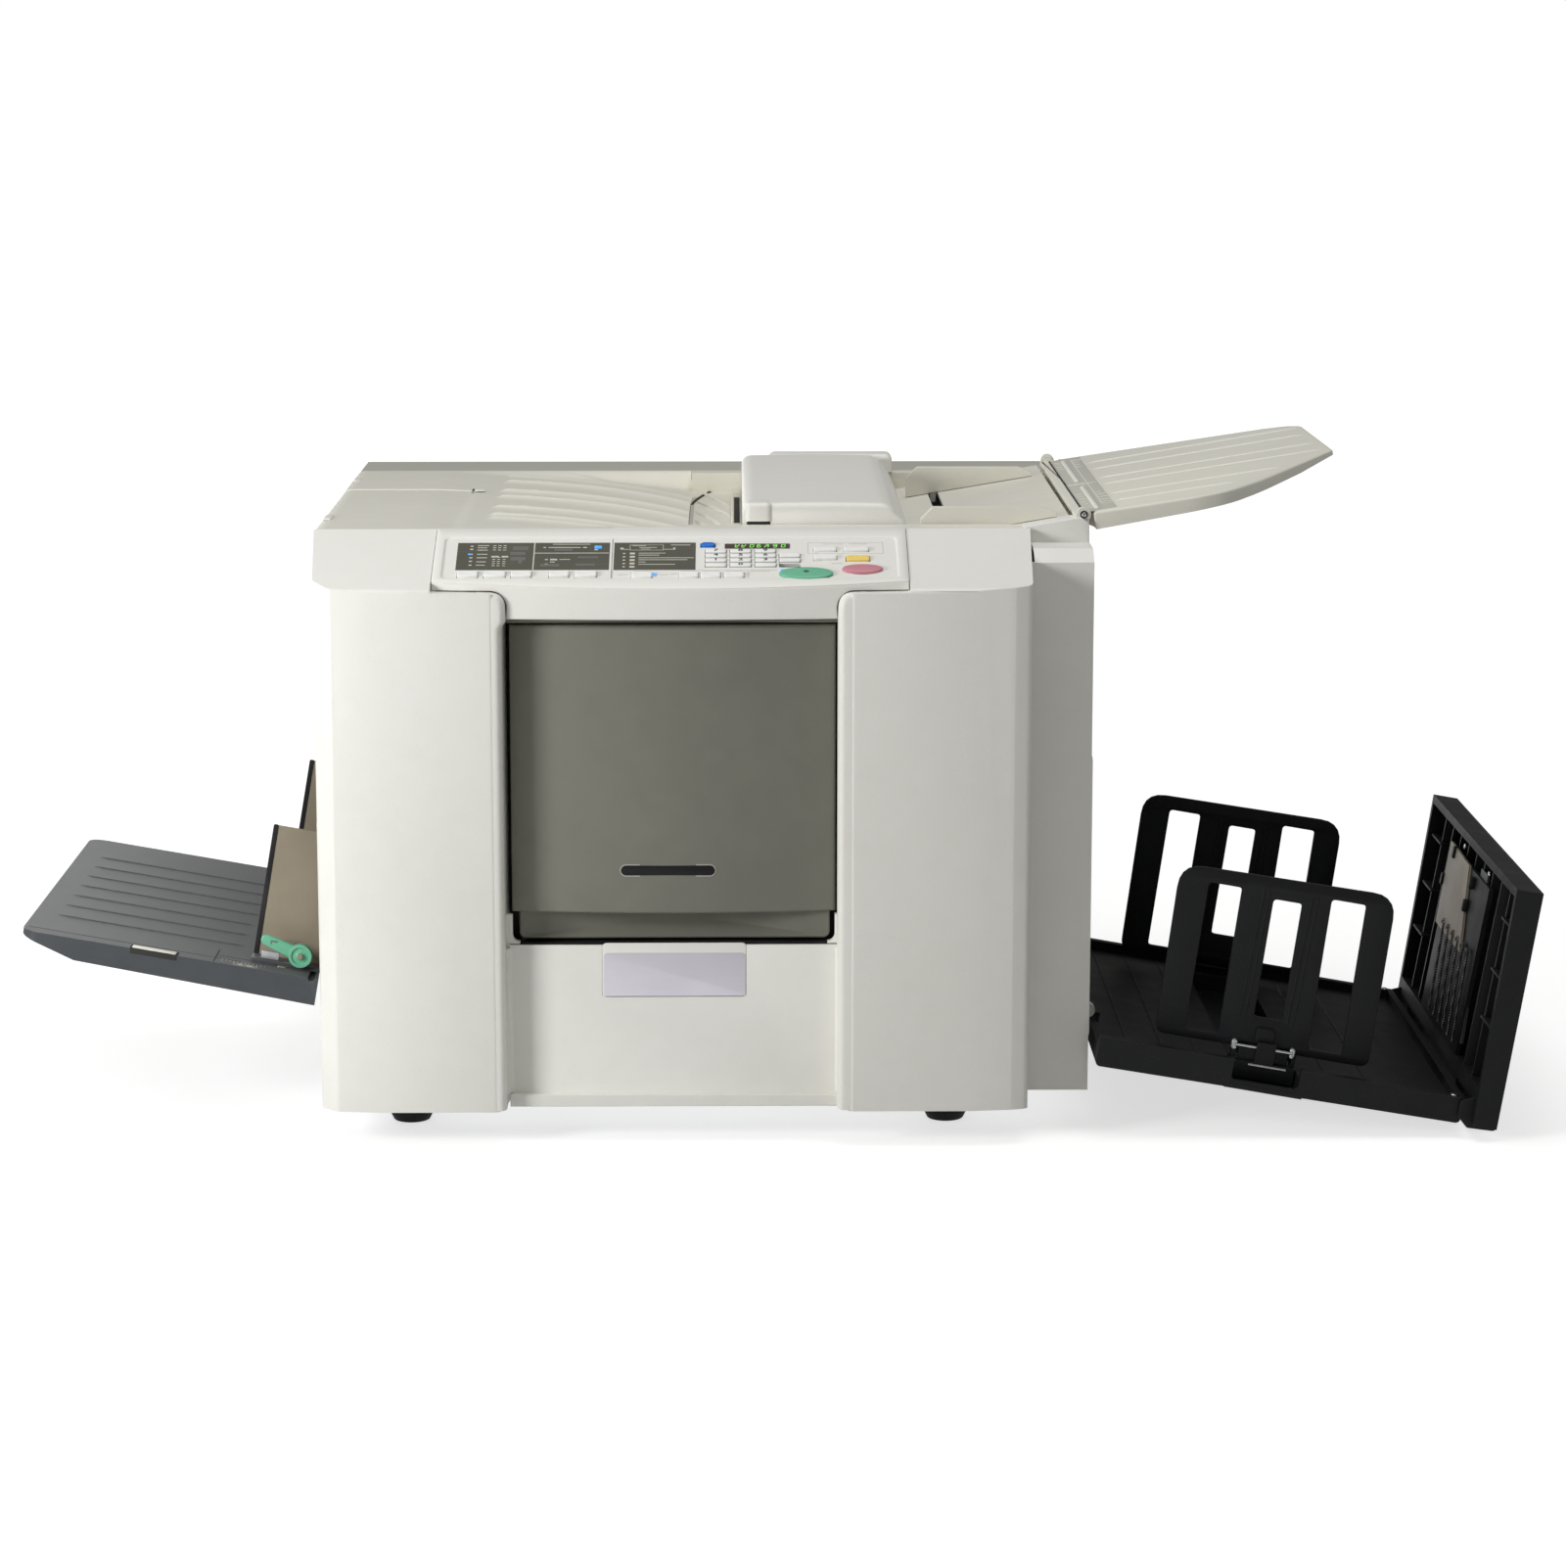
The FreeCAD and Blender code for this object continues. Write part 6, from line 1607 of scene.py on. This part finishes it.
# %% Tray floor and guides
insert = shifted(pad(rounded(40, 11.4, 1.2), -4.4, 0.45, 0.4), (-131.5, -186.6, 0))
piece("insert_frame", put(insert, FEED), groove_dark, "feed_tray_body", "black_plastic")
insert = shifted(pad(rounded(36.4, 8.4, 1.2), -3.2, 1.0, 0.5), (-131.5, -187.4, 0))
piece("pale_insert", put(insert, FEED), "grey_top_plastic", "feed_tray_body")
lines = [bar(-82.4, -81.4, -190.6, -148, 0.02), bar(-80, -40, -167.2, -166.4, 0.02),
         bar(-238, -60, -176.4, -175.8, 0.02)]
piece("tray_lines", put(gather(lines), FEED), groove_dark, "feed_tray_body", "black_plastic")
scale = [bar(-76 + 3.2 * i, -75.5 + 3.2 * i, -181 + (0 if i % 5 else -2.5), -177.5, 0.02)
         for i in range(12)]
scale += box_line(-66, -46, -189, -183.6, 0.02, 0.4)
scale += [bar(-62, -58, -187.4, -185.6, 0.02), bar(-55, -50, -187.4, -185.6, 0.02)]
piece("tray_scale", put(gather(scale), FEED), print_pale, "feed_tray_body", "black_plastic")
rib_path = np.column_stack([np.linspace(-222, -64, 24), np.zeros(24), np.zeros(24)])
floor_ribs = [tube(rib_path + [0, y0, 0], ended(1.4, 24, 0.04), 10, 0.6)
              for y0 in (-120, -80, -40, 0, 40, 80, 120)]
piece("feed_ribs", put(gather(floor_ribs), FEED), "tray_grey", "feed_tray_body", smooth=60)

for side, sign in (("front", -1), ("back", 1)):
    strip = upright(pad(rounded(4.2, 113.4, 1.0), -1.5, 1.5, 0.4))
    strip = shifted(strip, (-51.1, sign * 150.5, 57.4))
    cover = shifted(pad(rounded(60, 17.6, 1.5), 0, 3.4, 1.2), (-23.6, sign * 160.9, 0.35))
    body = "feed_guide_" + side + "_body"
    piece("guide_strip_" + side, put(strip, FEED), "black_rubber", body)
    piece("guide_foot_" + side, put(cover, FEED), "tray_grey", body)
print("ribs of the feed tray", len(floor_ribs))

# %% Lock lever
MIDDLE = (-13, 12.5, 0)
disc = pad(ring(9.3, count=48), 170.4, 174.2, 0.8)
rim_rows = [(9.9, 170.4), (9.9, 175.0), (9.5, 175.5), (7.6, 175.5), (7.2, 175.0), (7.2, 172.0)]
rim_ring = turned(rim_rows, 48)
hub = pad(ring(3.6, count=32), 172, 175.2, 0.6)
lever = [shifted(part, MIDDLE) for part in (disc, rim_ring, hub)]
arm = np.array([[-19, 8.4], [-17.5, 20.2], [-42.6, 25.6], [-46.6, 24.4], [-47.6, 20.4],
                [-45.4, 17.4]])
lever.append(pad(arm, 170.6, 174.6, 1.2))
piece("lever_green", put(upright(gather(lever)), FEED), "green_plastic", "guide_lock_lever_body",
      replaces=("guide_lock_lever",), smooth=50)
mark = [bar(-39, -33, 20.6, 22.0, 174.6), bar(-39, -37.8, 18.6, 20.6, 174.6)]
piece("lever_mark", put(upright(gather(mark)), FEED), print_slate, "guide_lock_lever_body",
      "black_plastic")
screws("lever_screw", [(-13, -175.3, 12.5)], 2.6, upright, FEED, "guide_lock_lever_body")
bracket = shifted(upright(pad(rounded(15, 7, 1.2), 0, 1.2, 0.5)), (-38, -169.9, 8.2))
piece("lever_bracket", put(bracket, FEED), "sheet_steel", "feed_guide_front_body")
print("lever parts", len(lever))

# %% [markdown]
# ## Receiving tray and its fences
#
# A fence is a flat plate with rounded corners and three tall holes. A filled curve with a
# bevel makes that in one step: the outline and the holes are drawn as closed lines, and the
# curve turns them into a plate of even thickness with rounded edges. Each fence stands on
# steel pins between two lugs, with a leaf spring and a tab in the middle.


# %% Plates with holes
def holed_plate(outline, holes, thick, edge):
    """A plate about z = 0 with holes, all edges rounded by edge."""
    curve = bpy.data.curves.new("plate", "CURVE")
    curve.dimensions = "2D"
    curve.fill_mode = "BOTH"
    curve.extrude = thick / 2 - edge
    curve.bevel_depth = edge
    curve.bevel_resolution = 1
    for line in [outline] + holes:
        spline = curve.splines.new("POLY")
        spline.points.add(len(line) - 1)
        flat = np.column_stack([line, np.zeros(len(line)), np.ones(len(line))])
        spline.points.foreach_set("co", flat.ravel().tolist())
        spline.use_cyclic_u = True
    return mesh_of(curve)


FENCE = rounded_corners([(52, 4), (234, 4), (229, 152), (46, 149)], (8, 8, 20, 20))
HOLES = [[(76, 11), (104.4, 11), (100.4, 137.4), (72, 137.4)],
         [(131, 31), (155.4, 31), (152.4, 132.4), (128, 132.4)],
         [(181, 11), (210.4, 11), (205.4, 140.4), (176, 140.4)]]
holes = [rounded_corners(np.array(h, float), 3.4) for h in HOLES]
plate = holed_plate(inset(FENCE, 0.9), [inset(h[::-1], 0.9)[::-1] for h in holes], 5, 0.9)
FENCE_AT = 159
for side, sign in (("front", -1), ("back", 1)):
    body = "side_fence_" + side + "_body"
    shape = shifted(upright(plate), (0, sign * FENCE_AT, 0))
    piece("fence_plate_" + side, put(shape, STACK), "black_plastic", body,
          replaces=("side_fence_" + side,), smooth=40)
    ridge = upright(pad(rounded(1.6, 112, 0.7), -3.1, 3.1, 0.6))
    ridges = [shifted(ridge, (x0, sign * FENCE_AT, 84)) for x0 in (123.4, 118.6, 159.6, 164.4)]
    piece("fence_ridges_" + side, put(gather(ridges), STACK), "black_plastic", body)
    lug = upright(pad(rounded(4.6, 9, 2.0), -2.6, 2.6, 1.0))
    lugs = [shifted(lug, (x0, sign * 164.4, 6)) for x0 in (118.5, 168)]
    piece("fence_lugs_" + side, put(gather(lugs), STACK), "sheet_steel", body)
    rods = []
    for start, end, y0, z0, radius in ((119, 168, 167.2, 6.4, 1.3), (132, 164, 173, -7.5, 1.1)):
        xs = np.linspace(start, end, 12)
        path = np.column_stack([xs, np.full(12, sign * y0), np.full(12, z0)])
        rods.append(tube(path, radius, 12))
    piece("fence_pins_" + side, put(gather(rods), STACK), "turned_steel", body, smooth=60)
    leaf = shifted(upright(pad(rounded(42, 15, 2), -1.6, 1.6, 0.6)), (144, sign * 165.4, -0.5))
    piece("fence_leaf_" + side, put(leaf, STACK), "black_plastic", body)
    tab = shifted(upright(pad(rounded(16, 14, 3.5), -1.8, 1.8, 1.2)), (143, sign * 164, 16))
    piece("fence_tab_" + side, put(tab, STACK), "black_plastic", body)
sill = np.array([[112, -24.6], [178, -24.6], [178, -9], [171, -17], [119, -17], [112, -9]], float)
piece("tray_sill", put(shifted(upright(pad(sill, -2.2, 2.2, 0.5)), (0, -193.4, 0)), STACK),
      "black_plastic", "receiving_tray_body")
print("fence plate", len(plate[0]), "points")

# %% [markdown]
# The end fence is open towards the stack. Inside stand a brownish slide plate with six thin
# rods under it, a slate strip and a few short ribs; they stop the sheets softly.

# %% Inside of the end fence
slide = np.array([[-33, 90], [0, 160], [95, 163], [91, 90]], float)


def facing_stack(shape, depth):
    """Stands a flat (y', z') shape up to face the stack at x' = depth."""
    points, faces = shape
    return np.column_stack([depth - points[:, 2], points[:, 0], points[:, 1]]), [f[::-1] for f in faces]


plate = facing_stack(pad(slide, -1.5, 0.8, 0.4), 317.6)
piece("slide_plate", put(plate, STACK), "guide_brown", "end_fence_body")
rods = []
for y0 in (52, 28, 4, -20, -44, -68):
    z = np.array([20, 24, 60, 92, 97, 99.5, 99, 95.5])
    yy = y0 + np.array([-12, -11, -5, 0, 0.6, 3, 6, 7])
    rods.append(tube(np.column_stack([np.full(8, 316.4), yy, z]), 1.25, 10))
piece("end_rods", put(gather(rods), STACK), "screen_steel", "end_fence_body", smooth=60)
outline = np.array([[-97, 24], [-64, 165], [-34, 165], [-66, 24]], float)
band = facing_stack(pad(outline, -0.4, 1.4, 0.6), 322.4)
piece("end_band", put(band, STACK), "tray_grey", "end_fence_body")
shelf = pad(rounded(12, 46, 1), -0.9, 0.9, 0.5)
shelves = [shifted(shelf, (325.5, y0, z0)) for y0 in (-177, 177) for z0 in (149, 105, 63)]
piece("end_shelves", put(gather(shelves), STACK), "black_plastic", "end_fence_body")
hook = facing_stack(pad(rounded(7, 11, 2), 0, 3.6, 1.2), 318.4)
places = ((70, 158), (-24, 150), (-16, 128), (98, 128))
catches = [shifted(hook, (0, y0, z0)) for y0, z0 in places]
piece("end_catches", put(gather(catches), STACK), "black_plastic", "end_fence_body")
heads = [shifted(facing_stack(screw_head(3.0)[0], 323), (0, y0, 166)) for y0 in (-60, 60)]
piece("end_screws", put(gather(heads), STACK), "turned_steel", "end_fence_body")
screws("tray_screws", [(304, -190.5, -0.1), (304, 190.5, -0.1)], 3.2, lambda s: s, STACK,
       "receiving_tray_body")
rib_path = np.column_stack([np.zeros(20), np.linspace(-178, 178, 20), np.full(20, -8.0)])
floor_ribs = [tube(rib_path + [x0, 0, 0], ended(1.2, 20, 0.03), 10, 0.7)
              for x0 in (30, 60, 90, 200, 235, 270)]
piece("floor_ribs", put(gather(floor_ribs), STACK), "black_plastic", "receiving_tray_body")
foot = np.array([[309, -2], [321, 3], [341.5, 3], [341.5, -22], [318, -23], [309, -15]], float)
foot = pad(rounded_corners(foot, (3, 2, 3, 3, 3, 3)), -1.6, 1.6, 0.7)
feet = [shifted(upright(foot), (0, y0, 0)) for y0 in (-198.2, 198.2)]
piece("end_feet", put(gather(feet), STACK), "black_plastic", "end_fence_body")
print("end fence rods", len(rods))

# %% [markdown]
# ## Sides and back
#
# Nobody looks at the back much, but it has to be there when the machine is turned. The rear
# cover is held by screws in shallow round wells, and two seams show where parts of it lift
# off. Louvres, a metal plate and a dark collar round the inlet fill it. Each side has two
# grips near the floor, a few screws, and a soft raised frame round its mouth for paper.


# %% Back
def frame_line(width, height, thick, rise, radius=4):
    """A thin raised or printed line round a rounded rectangle."""
    out = rounded(width, height, radius, 7)
    rows = [(out, -0.4), (out, rise * 0.6), (inset(out, thick * 0.3), rise),
            (inset(out, thick * 0.7), rise), (inset(out, thick), rise * 0.6),
            (inset(out, thick), -0.4)]
    return stacked(rows, (False, False))


seams = [shifted(backward(frame_line(598, 262, 1.0, 0.3)), (-64, BACK_FACE, 176)),
         shifted(backward(frame_line(150, 92, 0.9, 0.3)), (70, BACK_FACE, 410))]
piece("back_seams", gather(seams), groove_dark, "casing", "black_plastic")
wells = [(-355, 60), (-64, 60), (226, 60), (-355, 292), (-64, 292), (226, 292), (-355, 420),
         (-200, 420), (200, 420)]
rim = turned([(6.2, -0.3), (6.2, 0.3), (5.6, 0.55), (4.9, 0.3), (4.9, -0.3)], 28)
rims = [shifted(backward(rim), (x0, BACK_FACE, z0)) for x0, z0 in wells]
# The wells take the darker plastic of the back, whose colour is painted shade.
piece("screw_wells", gather(rims), finish["rear_shaded_plastic"], "casing", "white_plastic", smooth=60)
screws("back_screws", [(x0, BACK_FACE - 0.6, z0) for x0, z0 in wells], 3.4, backward, WORLD,
       "casing")
louvre = backward(pad(rounded(158, 2.6, 1.2), -2, 0.55, 0.5))
louvres = [shifted(louvre, (-170, BACK_FACE, 157.6 + 12 * i)) for i in range(8)]
# The louvre lips take the same darker plastic, painted shade.
piece("vent_lips", gather(louvres), finish["rear_shaded_plastic"], "casing", "white_plastic")
plate = shifted(backward(pad(rounded(74, 44, 2), -0.3, 0.5, 0.3)), (150, BACK_FACE, 130))
piece("rating_plate", plate, "sheet_steel", "casing")
collar = frame_line(41, 35, 3.4, 0.55, 3)
piece("inlet_collar", shifted(backward(collar), (196, BACK_FACE, 79)), "black_plastic", "casing")
print("back parts", len(wells) + len(louvres))

# %% Sides
def facing_left(shape):
    """Stands a flat (y, z) shape up to face the left."""
    points, faces = shape
    return np.column_stack([-points[:, 2], -points[:, 0], points[:, 1]]), faces


def facing_right(shape):
    """Stands a flat (y, z) shape up to face the right."""
    points, faces = shape
    return np.column_stack([points[:, 2], points[:, 0], points[:, 1]]), faces


GRIPS_LEFT = [(-380, -90, 62), (-380, 190, 62)]
GRIPS_RIGHT = [(257, -100, 56), (257, 180, 56)]
shade = pad(rounded(96, 24, 8, 7), -1, 0.25, 0.2)
grips = [shifted(facing_left(shade), p) for p in GRIPS_LEFT]
grips += [shifted(facing_right(shade), p) for p in GRIPS_RIGHT]
piece("grip_shades", gather(grips), groove_dark, "casing", "black_plastic")
edge = frame_line(102, 30, 3.2, 0.9, 11)
rims = [shifted(facing_left(edge), p) for p in GRIPS_LEFT]
rims += [shifted(facing_right(edge), p) for p in GRIPS_RIGHT]
piece("grip_rims", gather(rims), "white_plastic", "casing", smooth=60)
lips = [shifted(facing_left(frame_line(366, 151, 2.6, 0.9, 5)), (-380, -120, 196)),
        shifted(facing_right(frame_line(343.5, 238, 3.0, 0.9, 5)), (257, -106.2, 199.5))]
piece("mouth_lips", gather(lips), "white_plastic", "casing", smooth=60)
side_screws = [(-379.8, 290, 60), (-379.8, 290, 420), (-379.8, -190, 60)]
screws("left_screws", side_screws, 3.2, facing_left, WORLD, "casing")
side_screws = [(256.8, 290, 60), (256.8, 290, 420), (256.8, 100, 420)]
screws("right_screws", side_screws, 3.2, facing_right, WORLD, "casing")
print("grips", len(grips), "mouth lips", len(lips))

# %% [markdown]
# ## Behind the front door
#
# With the door open the end of the drum faces the operator. It is a green moulding with a
# raised rim, a second ring and short ribs between them, so the rim stays round when the drum
# is pulled by its handle. A turned profile makes the rings, and one rib is copied round.

# %% Drum end
def spun(shape, degrees):
    """The shape turned about its local z axis."""
    points, faces = shape
    c, s = math.cos(math.radians(degrees)), math.sin(math.radians(degrees))
    return points @ np.array([[c, s, 0], [-s, c, 0], [0, 0, 1]]), faces


DRUM_END = (-89, -261, 311)
rings = [turned([(99.4, -0.4), (99.4, 1.6), (98.4, 2.4), (93, 2.4), (92, 1.6), (92, -0.4)]),
         turned([(66, -0.4), (66, 0.9), (65.4, 1.5), (62.6, 1.5), (62, 0.9), (62, -0.4)])]
rib = shifted(pad(rounded(26.6, 3.2, 1.5), -0.4, 1.3, 0.6), (79, 0, 0))
rings += [spun(rib, degrees) for degrees in range(0, 360, 30)]
rings.append(frame_line(97, 39, 3.0, 1.6, 11))
piece("drum_end_ribs", shifted(upright(gather(rings)), DRUM_END), "green_plastic", "casing",
      smooth=50)
cup = pad(rounded(91, 33, 9, 7), -0.3, 0.35, 0.25)
piece("handle_shade", shifted(upright(cup), DRUM_END), groove_dark, "casing", "black_plastic")
places = [(-89 + 79 * math.cos(a), -261, 311 + 79 * math.sin(a))
          for a in np.radians([45, 135, 225, 315])]
screws("drum_screws", places, 3.4, upright, WORLD, "casing")
places = [(-196, -257.8, 406), (18, -257.8, 406), (-196, -257.8, 200), (18, -257.8, 200)]
screws("frame_screws", places, 3.8, upright, WORLD, "casing")
print("drum end", len(rings))
